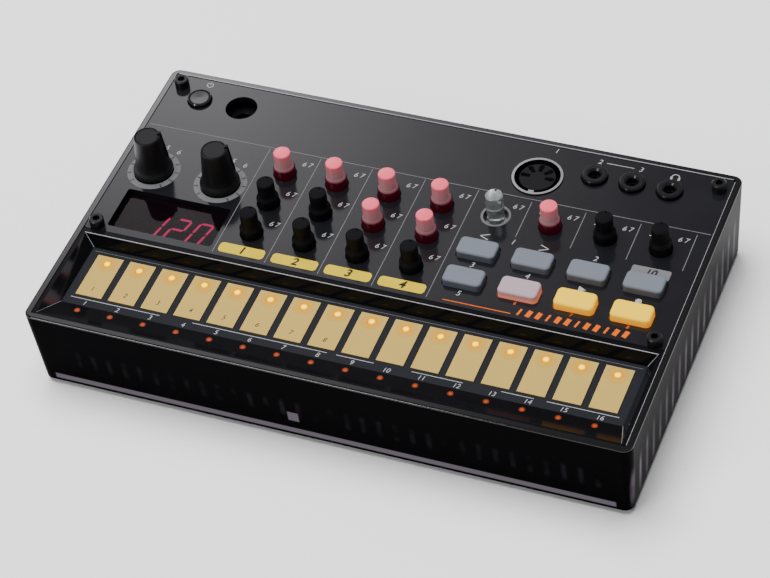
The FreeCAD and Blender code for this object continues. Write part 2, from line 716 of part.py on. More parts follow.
def make_dial_shaft(name, number):
    body = new_body(name, dial_x(number), dial_y, panel_top)
    reach = dial_lift + dial_bore_depth - fit_gap
    depth = panel_thickness + pot_height - board_thickness
    raise_on(body, [(0, 0, dial_shaft_radius)], -depth, reach)


def make_key(name, column, row):
    """Rubber key with rounded edges, a flange under the panel and a plunger."""
    body = new_body(name, column_x(column), key_y(row), panel_top)
    flange_top = -panel_thickness - fit_gap
    flange_low = flange_top - flange_thickness
    raise_on(body, [around(0, 0, key_width, key_depth)], flange_top, key_height)
    soften(body, "Fillet", key_corner, is_upright)
    soften(body, "Fillet", key_edge, is_level_at(key_height.number))
    flange = around(0, 0, key_width + flange_width * 2, key_depth + flange_width * 2)
    raise_on(body, [flange], flange_low, flange_top)
    raise_on(body, [(0, 0, plunger_radius)], flange_low - plunger_length, flange_low)


def make_key_switches():
    """Eight small push switches on the main board, one under each key."""
    plunger_end = panel_under - fit_gap - flange_thickness - plunger_length
    button_top = plunger_end - key_travel - fit_gap
    places = [(column_x(4 + column), key_y(row)) for row in (0, 1) for column in range(4)]
    body = new_body("key_switches")
    low = button_top - switch_button_height
    raise_on(body, [around(x, y, switch_width, switch_width) for x, y in places], main_top, low)
    raise_on(body, [(x, y, switch_button_radius) for x, y in places], low, button_top)


def make_power_button():
    body = new_body("power_button", power_place_x, jack_y, panel_top)
    flange_top = -panel_thickness - fit_gap
    flange_low = flange_top - flange_thickness
    plunger_end = flange_low - plunger_length
    turn(body, [
        (0, plunger_end),
        (plunger_radius, plunger_end),
        (plunger_radius, flange_low),
        (power_radius + flange_width, flange_low),
        (power_radius + flange_width, flange_top),
        (power_radius, flange_top),
        (power_radius, power_height - knob_edge),
        (power_radius - knob_edge, power_height),
        (power_radius - knob_edge * 3, power_height - knob_edge / 2),
        (0, power_height - knob_edge),
    ])
    switch_top = panel_top + plunger_end - power_travel - fit_gap
    switch = new_body("power_switch")
    outline = around(power_place_x, jack_y, power_switch_width, power_switch_width)
    raise_on(switch, [outline], jack_board_top, switch_top)


def make_pots():
    """Sixteen small pots and two large ones on the main board, bored for their shafts."""
    body = new_body("pot_bodies")
    small = [(column_x(column), row_y(row)) for row in range(3) for column in range(4)]
    small += [(column_x(column), row_y(0)) for column in (4, 5, 6, 7)]
    large = [(dial_x(number), dial_y) for number in (0, 1)]
    outlines = [around(x, y, pot_width, pot_width) for x, y in small]
    outlines += [around(x, y, dial_pot_width, dial_pot_width) for x, y in large]
    raise_on(body, outlines, main_top, panel_under)
    bores = [(x, y, shaft_radius + turn_gap) for x, y in small]
    sink_in(body, bores, panel_under - shaft_depth - fit_gap, panel_under)
    large_bores = [(x, y, dial_shaft_radius + turn_gap) for x, y in large]
    sink_in(body, large_bores, main_top + board_thickness - fit_gap, panel_under)


def make_din_socket():
    """Round five-pin socket: a metal ring with a key, and an insert with five pin holes."""
    ring = new_body("din_ring", din_place_x, din_y, 0)
    inner = din_radius - din_ring
    raise_on(ring, [(0, 0, din_radius), (0, 0, inner)], jack_board_top, panel_top + din_lift)
    key_reach = din_core_radius + fit_gap
    key = rectangle(-din_key_width / 2, -inner - din_ring / 2, din_key_width / 2, -key_reach)
    raise_on(ring, [key], jack_board_top + board_thickness, panel_top)
    insert = new_body("din_insert", din_place_x, din_y, 0)
    raise_on(insert, [(0, 0, inner - fit_gap)], jack_board_top, jack_board_top + board_thickness - fit_gap)
    raise_on(insert, [(0, 0, din_core_radius)], jack_board_top + board_thickness - fit_gap, panel_top)
    angles = [math.radians(45 * n) for n in range(5)]
    pins = [(din_pin_circle * math.cos(a), din_pin_circle * math.sin(a), din_pin_radius) for a in angles]
    sink_in(insert, pins, panel_top - din_pin_depth, panel_top)


def make_mini_jacks():
    """Three upright jacks for 3.5 mm plugs: sync in, sync out and headphones."""
    body = new_body("mini_jacks")
    places = [half_width - jack_x + jack_pitch * n for n in range(3)]
    mouth = panel_top + jack_lift
    boxes = [around(x, jack_y, jack_width, jack_depth) for x in places]
    raise_on(body, boxes, jack_board_top, panel_under - fit_gap)
    raise_on(body, [(x, jack_y, jack_collar_radius) for x in places], panel_under - fit_gap, mouth)
    soften(body, "Fillet", rim_edge_radius, is_level_at(mouth.number))
    sink_in(body, [(x, jack_y, jack_bore_radius) for x in places], mouth - jack_bore_depth, mouth)
    at_mouth = is_level_at(mouth.number)
    soften(
        body,
        "Chamfer",
        jack_lead_in,
        lambda edge: at_mouth(edge) and edge.BoundBox.XLength < jack_collar_radius.number,
    )


def make_power_inlet():
    """Barrel inlet below its panel hole, with a centre pin."""
    body = new_body("power_inlet")
    top = panel_under - dc_recess
    raise_on(body, [around(dc_place_x, jack_y, dc_width, dc_depth)], jack_board_top, top)
    sink_in(body, [(dc_place_x, jack_y, dc_bore_radius)], top - dc_bore_depth, top)
    raise_on(body, [(dc_place_x, jack_y, dc_pin_radius)], top - dc_bore_depth, top - fit_gap)


def make_display():
    """Smoked pane behind the panel's window, and the four-digit module under it."""
    x0 = window_inset - half_width
    y0 = panel_front_y + window_margin
    x1, y1 = x0 + window_width, y0 + window_depth
    pane_low = panel_under - pane_thickness
    lap = window_lap
    plate("display_pane", x0 - lap, y0 - lap, x1 + lap, y1 + lap, pane_low, panel_under)
    body = new_body("digit_module")
    outline = around((x0 + x1) / 2, (y0 + y1) / 2, digits_width, digits_depth)
    raise_on(body, [outline], main_top, pane_low - digits_gap)


def make_boards():
    """Main board under the knobs, jack board under the sockets, their connector and the touch board."""
    back = half_depth - main_board_back
    plate("main_board", -board_x, panel_front_y - fit_gap, board_x, back, main_under, main_top)
    jack_back = half_depth - wall - front_draft - board_gap
    jack_front = back - board_lap
    plate("jack_board", -board_x, jack_front, board_x, jack_back, jack_board_under, jack_board_top)
    connector = around(as_size(0), back - board_lap / 2, connector_length, board_lap - board_gap)
    raise_on(new_body("board_connector"), [connector], jack_board_top, main_under)
    touch_front, touch_back = board_gap - ledge_y, bezel_back - board_gap
    plate("touch_board", -board_x, touch_front, board_x, touch_back, touch_board_under, touch_board_top)


def make_panel_screws():
    """Four hexagon-socket cap screws, and the threaded spacers that they are driven into."""
    body = new_body("panel_screws")
    shanks = [(x, y, screw_radius) for x, y in panel_screw_places]
    raise_on(body, shanks, panel_top - screw_length, panel_top)
    head_top = panel_top + screw_head_height
    heads = [(x, y, screw_head_radius) for x, y in panel_screw_places]
    raise_on(body, heads, panel_top, head_top)
    soften(body, "Chamfer", knob_edge, is_level_at(head_top.number))
    turns = [math.radians(60 * n) for n in range(6)]
    corners = [(hex_radius * math.cos(angle), hex_radius * math.sin(angle)) for angle in turns]
    sockets = [[(x + dx, y + dy) for dx, dy in corners] for x, y in panel_screw_places]
    sink_in(body, sockets, head_top - hex_depth, head_top)
    spacers = new_body("threaded_spacers")
    bore = screw_radius + turn_gap
    for y, low in ((screw_back_y, jack_board_top), (screw_front_y, main_top)):
        rings = [(sx * screw_x, y, radius) for sx in (-1, 1) for radius in (spacer_radius, bore)]
        raise_on(spacers, rings, low, panel_under)


def make_bottom_screws():
    """Four pan-head screws up through the bottom cover into the posts of the case."""
    body = new_body("bottom_screws")
    places = [(sx * post_x, sy * post_screw_y) for sx, sy in MIRRORED]
    head_top = foot_height + cover_head_height
    raise_on(body, [(x, y, cover_head_radius) for x, y in places], foot_height, head_top)
    shanks = [(x, y, cover_screw_radius) for x, y in places]
    raise_on(body, shanks, head_top, base_top + cover_screw_length)
    slots = [around(x, y, cover_head_radius, cover_head_height / 3) for x, y in places]
    sink_in(body, slots, foot_height, foot_height + cover_head_height / 2)


def tongue_outline(sx, sy, front, back, reach):
    """A tongue, or its slot, at one side of the door; front and back widen it along the slide."""
    side = bay_width / 2 + door_lap
    middle_y = (door_y0 + door_y1) / 2 + sy * tongue_place
    inner = sx * (side - door_lap / 2) - bay_x
    outer = sx * (side + reach) - bay_x
    low_y, high_y = middle_y - tongue_length / 2 - front, middle_y + tongue_length / 2 + back
    return rectangle(inner, low_y, outer, high_y) if sx > 0 else rectangle(outer, low_y, inner, high_y)


def make_bottom_cover():
    """Cover with the battery bay, bosses, speaker ring and slots, screw holes and the door's recess."""
    body = new_body("bottom_cover")
    edge_x = half_width - side_draft - wall - fit_gap
    edge_y = half_depth - front_draft - wall - fit_gap
    raise_on(body, [rectangle(-edge_x, -edge_y, edge_x, edge_y)], foot_height, base_top)
    soften(body, "Fillet", rim_edge_radius, is_upright)
    bay_outer = rectangle(bay_x0 - bay_wall, bay_y0 - bay_wall, bay_x1 + bay_wall, bay_y1 + bay_wall)
    raise_on(body, [bay_outer], base_top, bay_roof + bay_wall)
    sink_in(body, [rectangle(bay_x0, bay_y0, bay_x1, bay_y1)], foot_height, bay_roof)
    recess_gap = slide_gap
    recess = rectangle(
        bay_x0 - door_lap - recess_gap,
        door_y0 - recess_gap - door_travel,
        bay_x1 + door_lap + recess_gap,
        door_y1 + recess_gap,
    )
    recess_top = foot_height + door_thickness + fit_gap
    sink_in(body, [recess], foot_height, recess_top)
    slot_reach = tongue_reach + slide_gap
    slot_front = slide_gap + door_travel
    slots = [tongue_outline(sx, sy, slot_front, slide_gap, slot_reach) for sx, sy in MIRRORED]
    slot_low = recess_top - fit_gap * 2 - tongue_thickness
    sink_in(body, slots, slot_low, recess_top)
    notch_back = slide_gap - door_travel
    notches = [tongue_outline(sx, sy, slot_front, notch_back, slot_reach) for sx, sy in MIRRORED]
    sink_in(body, notches, foot_height, slot_low)
    front_bosses = [(sx * screw_x, screw_front_y, boss_radius - fit_gap) for sx in (-1, 1)]
    raise_on(body, front_bosses, base_top, main_under)
    back = half_depth - main_board_back
    rear = back - board_lap - boss_radius - fit_gap
    rear_bosses = [(sx * (foot_x - foot_radius), rear, boss_radius) for sx in (-1, 1)]
    raise_on(body, rear_bosses, base_top, main_under)
    jack_bosses = [(sx * (post_x - post_width * 2), back, boss_radius) for sx in (-1, 1)]
    raise_on(body, jack_bosses, base_top, jack_board_under)
    ring = speaker_radius + fit_gap
    circles = [(speaker_x, -speaker_y, ring + speaker_rib), (speaker_x, -speaker_y, ring)]
    raise_on(body, circles, base_top, base_top + speaker_rib * 2)
    grille = []
    for share in [n / 4 for n in range(-3, 4)]:
        slot_y = grille_radius * share - speaker_y
        slot_length = grille_radius * (2 * math.sqrt(1 - share * share))
        grille += [around(speaker_x, slot_y, slot_length, grille_slot)]
    sink_in(body, grille, foot_height, base_top)
    places = [(sx * post_x, sy * post_screw_y) for sx, sy in MIRRORED]
    sink_in(body, [(x, y, cover_screw_radius + fit_gap) for x, y in places], foot_height, base_top)
    counterbores = [(x, y, cover_head_radius + fit_gap) for x, y in places]
    sink_in(body, counterbores, foot_height, foot_height + cover_head_height)


def make_battery_door():
    """Door that slides towards the front until its four tongues meet their notches."""
    body = new_body("battery_door")
    top = foot_height + door_thickness
    raise_on(body, [rectangle(bay_x0 - door_lap, door_y0, bay_x1 + door_lap, door_y1)], foot_height, top)
    tongues = [tongue_outline(sx, sy, 0, 0, tongue_reach) for sx, sy in MIRRORED]
    raise_on(body, tongues, top - tongue_thickness, top)
    first_rib = door_y1 - door_lap * 2
    rib_places = [first_rib - grip_height * 4 * n for n in range(6)]
    ribs = [around(-bay_x, y, contact_space * 8, grip_height * 2) for y in rib_places]
    raise_on(body, ribs, foot_height - grip_height, foot_height)


def make_batteries():
    """Six cells side by side, turned end for end, with their contacts and springs."""
    body = new_body("batteries")
    start = bay_y0 + contact_space
    middles = [-bay_x + cell_pitch * (n - (cell_count - 1) / 2) for n in range(cell_count)]
    back_nubs, front_nubs = middles[0::2], middles[1::2]
    can_end = start + cell_length - cell_nub_length
    cans = [(x, cell_z, cell_radius) for x in middles]
    raise_on(body, cans, -can_end, -(start + cell_nub_length), "XZ_Plane")
    back_ends = [(x, cell_z, cell_nub_radius) for x in back_nubs]
    raise_on(body, back_ends, -(start + cell_length), -can_end, "XZ_Plane")
    front_ends = [(x, cell_z, cell_nub_radius) for x in front_nubs]
    raise_on(body, front_ends, -(start + cell_nub_length), -start, "XZ_Plane")
    contacts = new_body("battery_contacts")
    plates = [around(x, cell_z, cell_radius * 1.6, cell_radius * 1.4) for x in middles]
    raise_on(contacts, plates, -(bay_y0 + contact_thickness), -bay_y0, "XZ_Plane")
    raise_on(contacts, plates, -bay_y1, -(bay_y1 - contact_thickness), "XZ_Plane")
    front_springs = [(x, cell_z, spring_radius) for x in back_nubs]
    back_springs = [(x, cell_z, spring_radius) for x in front_nubs]
    spring_end = start + cell_nub_length - fit_gap
    raise_on(contacts, front_springs, -spring_end, -(bay_y0 + contact_thickness), "XZ_Plane")
    raise_on(contacts, back_springs, -(bay_y1 - contact_thickness), -(can_end + fit_gap), "XZ_Plane")


def make_speaker():
    """Round speaker that faces down over the slots: frame, cone and magnet."""
    skin = board_thickness / 2
    throat = magnet_radius + skin
    frame = new_body("speaker_frame", speaker_x, -speaker_y, base_top)
    lip = speaker_radius - speaker_rib * 2
    turn(frame, [
        (lip, 0),
        (speaker_radius, 0),
        (speaker_radius, speaker_rib),
        (lip + skin, speaker_rib),
        (throat + skin, speaker_height - skin),
        (throat, speaker_height),
        (0, speaker_height),
        (0, speaker_height - skin),
        (throat - skin, speaker_height - skin),
        (lip, speaker_rib),
    ])
    cone = new_body("speaker_cone", speaker_x, -speaker_y, base_top)
    paper = skin / 2
    low = speaker_rib / 4
    neck = throat / 2
    turn(cone, [
        (0, speaker_height / 2),
        (neck, speaker_height / 2 + skin),
        (lip - speaker_rib, low),
        (lip, low),
        (lip, low + paper),
        (lip - speaker_rib, low + paper),
        (neck, speaker_height / 2 + skin + paper),
        (0, speaker_height / 2 + paper),
    ])
    magnet = new_body("speaker_magnet", speaker_x, -speaker_y, base_top)
    raise_on(magnet, [(0, 0, magnet_radius)], speaker_height, speaker_height + magnet_height)


def make_feet():
    body = new_body("rubber_feet")
    raise_on(body, [(sx * foot_x, sy * foot_y, foot_radius) for sx, sy in MIRRORED], 0, foot_height)
    soften(body, "Chamfer", foot_bevel, is_level_at(0))


make_case_shell()
make_bottom_cover()
make_top_panel()
make_touch_bezel()
make_touch_plate()
make_touch_pads()
make_lamps("pad_lamps", pad_led_y, pad_led_radius, touch_z + pad_thickness + lamp_lift)
make_lamps("step_lamps", step_led_y, step_led_radius, step_led_top)
make_display()
make_boards()
make_pots()
make_din_socket()
make_mini_jacks()
make_power_inlet()
make_power_button()
make_key_switches()
make_panel_screws()
make_bottom_screws()
make_batteries()
make_battery_door()
make_speaker()
make_feet()

SMALL_KNOBS = [
    ("kick_click_knob", 0, 0),
    ("kick_pitch_knob", 0, 1),
    ("kick_decay_knob", 0, 2),
    ("snare_rattle_knob", 1, 0),
    ("snare_pitch_knob", 1, 1),
    ("snare_decay_knob", 1, 2),
    ("low_tom_pitch_knob", 2, 0),
    ("high_tom_pitch_knob", 2, 1),
    ("tom_decay_knob", 2, 2),
    ("closed_hat_decay_knob", 3, 0),
    ("open_hat_decay_knob", 3, 1),
    ("hat_tone_knob", 3, 2),
    ("tempo_knob", 5, 0),
    ("part_level_knob", 6, 0),
    ("volume_knob", 7, 0),
]
for knob_name, knob_column, knob_row in SMALL_KNOBS:
    make_small_knob(knob_name, knob_column, knob_row)
make_small_knob("sample_speed_knob", 4, 0, has_collar=False)

for dial_number, dial_name in enumerate(("repeat_time", "repeat_depth")):
    make_dial(f"{dial_name}_knob", dial_number)
    make_dial_shaft(f"{dial_name}_shaft", dial_number)

KEYS = [
    ("part_back_key", "part_next_key", "mute_key", "function_key"),
    ("memory_key", "step_mode_key", "play_key", "record_key"),
]
for key_row_number, key_names in enumerate(KEYS):
    for key_column, key_name in enumerate(key_names):
        make_key(key_name, 4 + key_column, key_row_number)

doc.recompute()
failed = [thing.Label for thing in doc.Objects if {"Invalid", "Error"} & set(thing.State)]
if failed:
    raise RuntimeError(f"these objects did not compute: {failed}")
for part in subparts:
    if part.Shape.isNull() or not part.Shape.isValid() or not part.Shape.Solids:
        raise RuntimeError(f"{part.Label} has no valid solid")

os.makedirs("parts", exist_ok=True)
for part in subparts:
    part.Shape.exportStep(f"parts/{part.Label}.step")
print(len(subparts), "sub-parts,", sum(len(part.Shape.Solids) for part in subparts), "solids")
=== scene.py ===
import math

import bmesh
import bpy
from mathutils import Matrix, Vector


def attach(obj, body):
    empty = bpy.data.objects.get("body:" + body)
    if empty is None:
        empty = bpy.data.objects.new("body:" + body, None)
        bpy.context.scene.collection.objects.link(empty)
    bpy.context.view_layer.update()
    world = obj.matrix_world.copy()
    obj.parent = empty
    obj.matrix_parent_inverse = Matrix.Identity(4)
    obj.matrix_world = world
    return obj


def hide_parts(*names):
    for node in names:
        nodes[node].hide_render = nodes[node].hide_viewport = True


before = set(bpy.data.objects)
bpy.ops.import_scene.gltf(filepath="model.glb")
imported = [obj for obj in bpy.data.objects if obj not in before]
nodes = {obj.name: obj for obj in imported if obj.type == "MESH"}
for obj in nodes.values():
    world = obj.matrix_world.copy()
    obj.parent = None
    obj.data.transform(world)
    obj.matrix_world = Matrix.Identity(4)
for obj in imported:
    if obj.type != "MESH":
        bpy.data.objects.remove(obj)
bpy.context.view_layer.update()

# Room, in metres. A pale seamless floor under plain soft lights. The tall soft card beyond the machine's back
# left corner is what the glossy panel mirrors: bright at its left end and dark towards its right end.
FLOOR_HALF = 4
SQUARE = ((-1, -1), (1, -1), (1, 1), (-1, 1))


def set_stops(ramp, stops):
    """Fills a colour ramp from (position, colour) pairs."""
    points = ramp.color_ramp.elements
    while len(points) < len(stops):
        points.new(0.5)
    for point, (position, colour) in zip(points, stops):
        point.position = position
        point.color = (*colour, 1)


def lay_floor():
    sheet = bpy.data.meshes.new("floor")
    sheet.from_pydata([(FLOOR_HALF * a, FLOOR_HALF * b, 0) for a, b in SQUARE], [], [(0, 1, 2, 3)])
    floor = bpy.data.objects.new("floor", sheet)
    bpy.context.scene.collection.objects.link(floor)
    paint = bpy.data.materials.new("floor_paper")
    paint.use_nodes = True
    tree = paint.node_tree
    shader = tree.nodes["Principled BSDF"]
    shader.inputs["Roughness"].default_value = 0.9
    shader.inputs["Specular IOR Level"].default_value = 0.1
    place = tree.nodes.new("ShaderNodeTexCoord")
    fibres = tree.nodes.new("ShaderNodeTexNoise")
    fibres.inputs["Scale"].default_value = 3
    tone = tree.nodes.new("ShaderNodeMapRange")
    tone.inputs["To Min"].default_value = 0.88
    tone.inputs["To Max"].default_value = 0.92
    tree.links.new(place.outputs["Object"], fibres.inputs["Vector"])
    tree.links.new(fibres.outputs["Fac"], tone.inputs["Value"])
    tree.links.new(tone.outputs["Result"], shader.inputs["Base Color"])
    sheet.materials.append(paint)


def hang_light(name, place, target, width, depth, power):
    lamp = bpy.data.lights.new(name, "AREA")
    lamp.shape = "RECTANGLE"
    lamp.size = width
    lamp.size_y = depth
    lamp.energy = power
    holder = bpy.data.objects.new(name, lamp)
    holder.location = place
    holder.rotation_euler = (Vector(target) - Vector(place)).to_track_quat("-Z", "Y").to_euler()
    holder.visible_camera = False
    bpy.context.scene.collection.objects.link(holder)
    return holder


def hang_card():
    """A glowing card, brightest where the back left of the panel mirrors it and fading all round."""
    middle = Vector((-0.5, 0.95, 1.05))
    half_width, half_height = 0.8, 0.6
    across = Vector((0.83, 0.56, 0)).normalized()
    facing = Vector((0.31, -0.62, -0.72)).normalized()
    up = facing.cross(across).normalized()
    brightest = (-0.68, 1.04, 1.0)
    fades = ((0.0, 1.0), (0.13, 0.46), (0.24, 0.2), (0.42, 0.045), (0.7, 0.01))
    corners = [middle + across * half_width * a + up * half_height * b for a, b in SQUARE]
    sheet = bpy.data.meshes.new("soft_card")
    sheet.from_pydata([tuple(corner) for corner in corners], [], [(0, 1, 2, 3)])
    card = bpy.data.objects.new("soft_card", sheet)
    bpy.context.scene.collection.objects.link(card)
    card.visible_camera = False
    card.visible_shadow = False
    glow = bpy.data.materials.new("soft_card")
    glow.use_nodes = True
    tree = glow.node_tree
    tree.nodes.clear()
    place = tree.nodes.new("ShaderNodeTexCoord")
    away = tree.nodes.new("ShaderNodeVectorMath")
    away.operation = "DISTANCE"
    away.inputs[1].default_value = brightest
    fall = tree.nodes.new("ShaderNodeValToRGB")
    set_stops(fall, [(reach, (level, level * 0.97, level)) for reach, level in fades])
    light = tree.nodes.new("ShaderNodeEmission")
    light.inputs["Strength"].default_value = 5.6
    output = tree.nodes.new("ShaderNodeOutputMaterial")
    tree.links.new(place.outputs["Object"], away.inputs[0])
    tree.links.new(away.outputs["Value"], fall.inputs["Fac"])
    tree.links.new(fall.outputs["Color"], light.inputs["Color"])
    tree.links.new(light.outputs["Emission"], output.inputs["Surface"])
    sheet.materials.append(glow)


lay_floor()
hang_card()
top_light = hang_light("top_light", (-0.25, 0.15, 1.6), (0, 0, 0), 1.2, 1.2, 58)
top_light.visible_glossy = False
hang_light("front_light", (-0.7, -1.2, 1.0), (0, 0, 0.02), 0.6, 0.3, 7)

world = bpy.data.worlds.new("room")
bpy.context.scene.world = world
world.use_nodes = True
air = world.node_tree.nodes["Background"]
air.inputs["Color"].default_value = (0.9, 0.92, 0.95, 1)
air.inputs["Strength"].default_value = 0.25

# Camera. It looks down on the machine from beyond its front right corner through a long lens. The lens, place
# and turns are fitted to the corners of the case in the photo.
camera_data = bpy.data.cameras.new("camera")
camera_data.lens = 132.8
camera_data.sensor_width = 36
camera = bpy.data.objects.new("camera", camera_data)
camera.location = (0.27334, -0.54315, 0.64667)
camera.rotation_euler = (math.radians(43.484), math.radians(5.588), math.radians(21.032))
bpy.context.scene.collection.objects.link(camera)
bpy.context.scene.camera = camera

# Case shell. One deep tray moulded in smoked black plastic, polished outside. Its walls carry a faint painted
# glow: a pale band of painted reflection along the foot of the front wall, where the bottom cover's edge
# lies, a pale patch above it, and the real inner ribs drawn as faint glowing bars on the front and right
# walls.
MM = 0.001
CLOUD_SIZE = 9


def finish(name, colour, roughness, grain_size=0.4, bump=0.02, mottle=0.15, **sockets):
    """A moulded or painted finish: fine grain, slightly uneven gloss and tone. Sizes in millimetres."""
    paint = bpy.data.materials.new(name)
    paint.use_nodes = True
    tree = paint.node_tree
    shader = tree.nodes["Principled BSDF"]
    for socket, value in sockets.items():
        shader.inputs[socket.replace("_", " ")].default_value = value
    place = tree.nodes.new("ShaderNodeTexCoord")
    cloud = tree.nodes.new("ShaderNodeTexNoise")
    cloud.inputs["Scale"].default_value = 1 / (CLOUD_SIZE * MM)
    cloud.inputs["Detail"].default_value = 4
    tree.links.new(place.outputs["Object"], cloud.inputs["Vector"])
    tone = tree.nodes.new("ShaderNodeMix")
    tone.data_type = "RGBA"
    tone.inputs["A"].default_value = (*[c * (1 - mottle) for c in colour], 1)
    tone.inputs["B"].default_value = (*[min(1, c * (1 + mottle)) for c in colour], 1)
    tree.links.new(cloud.outputs["Fac"], tone.inputs["Factor"])
    tree.links.new(tone.outputs["Result"], shader.inputs["Base Color"])
    gloss = tree.nodes.new("ShaderNodeMapRange")
    gloss.inputs["To Min"].default_value = max(0.02, roughness * 0.8)
    gloss.inputs["To Max"].default_value = min(1, roughness * 1.2)
    tree.links.new(cloud.outputs["Fac"], gloss.inputs["Value"])
    tree.links.new(gloss.outputs["Result"], shader.inputs["Roughness"])
    grain = tree.nodes.new("ShaderNodeTexNoise")
    grain.inputs["Scale"].default_value = 1 / (grain_size * MM)
    tree.links.new(place.outputs["Object"], grain.inputs["Vector"])
    relief = tree.nodes.new("ShaderNodeBump")
    relief.inputs["Strength"].default_value = 0.4
    relief.inputs["Distance"].default_value = bump * MM
    tree.links.new(grain.outputs["Fac"], relief.inputs["Height"])
    tree.links.new(relief.outputs["Normal"], shader.inputs["Normal"])
    return paint


def wear(paint, *names):
    """Gives CAD pieces their finish."""
    for name in names:
        for holder in nodes[name].material_slots:
            holder.material = paint


def polish(paint, axis, low, high, low_level, high_level):
    """Makes the gloss depend on where a face points along one axis: low and high are its slopes there."""
    tree = paint.node_tree
    place = tree.nodes.new("ShaderNodeTexCoord")
    split = tree.nodes.new("ShaderNodeSeparateXYZ")
    fold = tree.nodes.new("ShaderNodeMath")
    fold.operation = "ABSOLUTE"
    level = tree.nodes.new("ShaderNodeMapRange")
    level.inputs["From Min"].default_value = low
    level.inputs["From Max"].default_value = high
    level.inputs["To Min"].default_value = low_level
    level.inputs["To Max"].default_value = high_level
    tree.links.new(place.outputs["Normal"], split.inputs["Vector"])
    tree.links.new(split.outputs[axis], fold.inputs[0])
    tree.links.new(fold.outputs["Value"], level.inputs["Value"])
    tree.links.new(level.outputs["Result"], tree.nodes["Principled BSDF"].inputs["Specular IOR Level"])


def paint_wall_glow(paint):
    """Paints a faint glow on the walls: a pale band of painted reflection along the front wall's foot, a pale
    patch above it, and the ribs behind the front and right walls as faint glowing bars.
    """
    tree = paint.node_tree
    shader = tree.nodes["Principled BSDF"]
    place = tree.nodes.new("ShaderNodeTexCoord")
    split = tree.nodes.new("ShaderNodeSeparateXYZ")
    tree.links.new(place.outputs["Object"], split.inputs["Vector"])

    def times(first, second):
        product = tree.nodes.new("ShaderNodeMath")
        product.operation = "MULTIPLY"
        tree.links.new(first, product.inputs[0])
        tree.links.new(second, product.inputs[1])
        return product.outputs["Value"]

    def add(share, value, rest=None):
        """A share of one value on top of the rest."""
        total = tree.nodes.new("ShaderNodeMath")
        total.operation = "MULTIPLY_ADD"
        total.inputs[1].default_value = share
        total.inputs[2].default_value = 0
        tree.links.new(value, total.inputs[0])
        if rest:
            tree.links.new(rest, total.inputs[2])
        return total.outputs["Value"]

    def inside(axis, low, high, soft):
        """1 between low and high along one axis, fading over soft at each end."""
        rise = tree.nodes.new("ShaderNodeMapRange")
        rise.interpolation_type = "SMOOTHSTEP"
        rise.inputs["From Min"].default_value = low * MM
        rise.inputs["From Max"].default_value = (low + soft) * MM
        fade = tree.nodes.new("ShaderNodeMapRange")
        fade.interpolation_type = "SMOOTHSTEP"
        fade.inputs["From Min"].default_value = (high - soft) * MM
        fade.inputs["From Max"].default_value = high * MM
        fade.inputs["To Min"].default_value = 1
        fade.inputs["To Max"].default_value = 0
        tree.links.new(split.outputs[axis], rise.inputs["Value"])
        tree.links.new(split.outputs[axis], fade.inputs["Value"])
        return times(rise.outputs["Result"], fade.outputs["Result"])

    def bars(axis, pitch, faintest):
        """Thin upright bars along one axis, some stronger than others."""
        wave = tree.nodes.new("ShaderNodeTexWave")
        wave.bands_direction = axis
        wave.inputs["Scale"].default_value = 0.314 / (pitch * MM)
        thin = tree.nodes.new("ShaderNodeMapRange")
        thin.inputs["From Min"].default_value = 0.62
        uneven = tree.nodes.new("ShaderNodeTexNoise")
        uneven.inputs["Scale"].default_value = 1 / (11 * MM)
        strong = tree.nodes.new("ShaderNodeMapRange")
        strong.inputs["From Min"].default_value = faintest
        strong.inputs["From Max"].default_value = 0.75
        tree.links.new(place.outputs["Object"], wave.inputs["Vector"])
        tree.links.new(wave.outputs["Fac"], thin.inputs["Value"])
        tree.links.new(place.outputs["Object"], uneven.inputs["Vector"])
        tree.links.new(uneven.outputs["Fac"], strong.inputs["Value"])
        return times(thin.outputs["Result"], strong.outputs["Result"])

    front_wall = inside("Y", -60, -54, 0.5)
    painted_foot_band = times(inside("Z", 2.9, 5.4, 0.3), inside("X", -91, 91, 0.6))
    painted_pale_patch = times(inside("Z", 8.5, 13, 0.5), inside("X", -12, -8, 0.5))
    front_zone = times(inside("Z", 10, 19, 2), inside("X", -88, 90, 2))
    front_rib_glow = times(times(front_wall, front_zone), bars("X", 5.2, 0.42))
    right_wall = inside("X", 94.6, 99, 0.4)
    right_rib_glow = times(times(right_wall, inside("Z", 1, 23, 8)), bars("Y", 6.4, 0.1))
    painted_glow = add(0.15, times(front_wall, add(1, painted_foot_band, painted_pale_patch)))
    painted_glow = add(0.018, front_rib_glow, painted_glow)
    painted_glow = add(0.16, right_rib_glow, painted_glow)
    # This emission is painted light: a lilac glow on the walls that no lamp casts.
    shader.inputs["Emission Color"].default_value = (0.92, 0.78, 0.95, 1)
    tree.links.new(painted_glow, shader.inputs["Emission Strength"])


smoked = finish("smoked_plastic", (0.0015, 0.0013, 0.0018), 0.1, 3.0, 0.006, 0.2)
polish(smoked, "Z", 0.1, 0.4, 0.004, 1.0)
paint_wall_glow(smoked)
wear(smoked, "case_shell")

# Underside. The cover, its sliding battery door, four cross-head screws and four feet. The cover and door are
# black with a fine spark texture, and the feet are soft rubber. The panel's screws have the screws' finish.
cover_plastic = finish("textured_black_plastic", (0.012, 0.012, 0.014), 0.5, 0.35, 0.05)
wear(cover_plastic, "bottom_cover", "battery_door")
foot_rubber = finish("foot_rubber", (0.02, 0.02, 0.021), 0.85, 0.25, 0.06, Specular_IOR_Level=0.3)
wear(foot_rubber, "rubber_feet")
black_oxide = finish("black_oxide_steel", (0.012, 0.012, 0.014), 0.34, 0.2, 0.02, Metallic=0.3)
wear(black_oxide, "bottom_screws", "panel_screws")

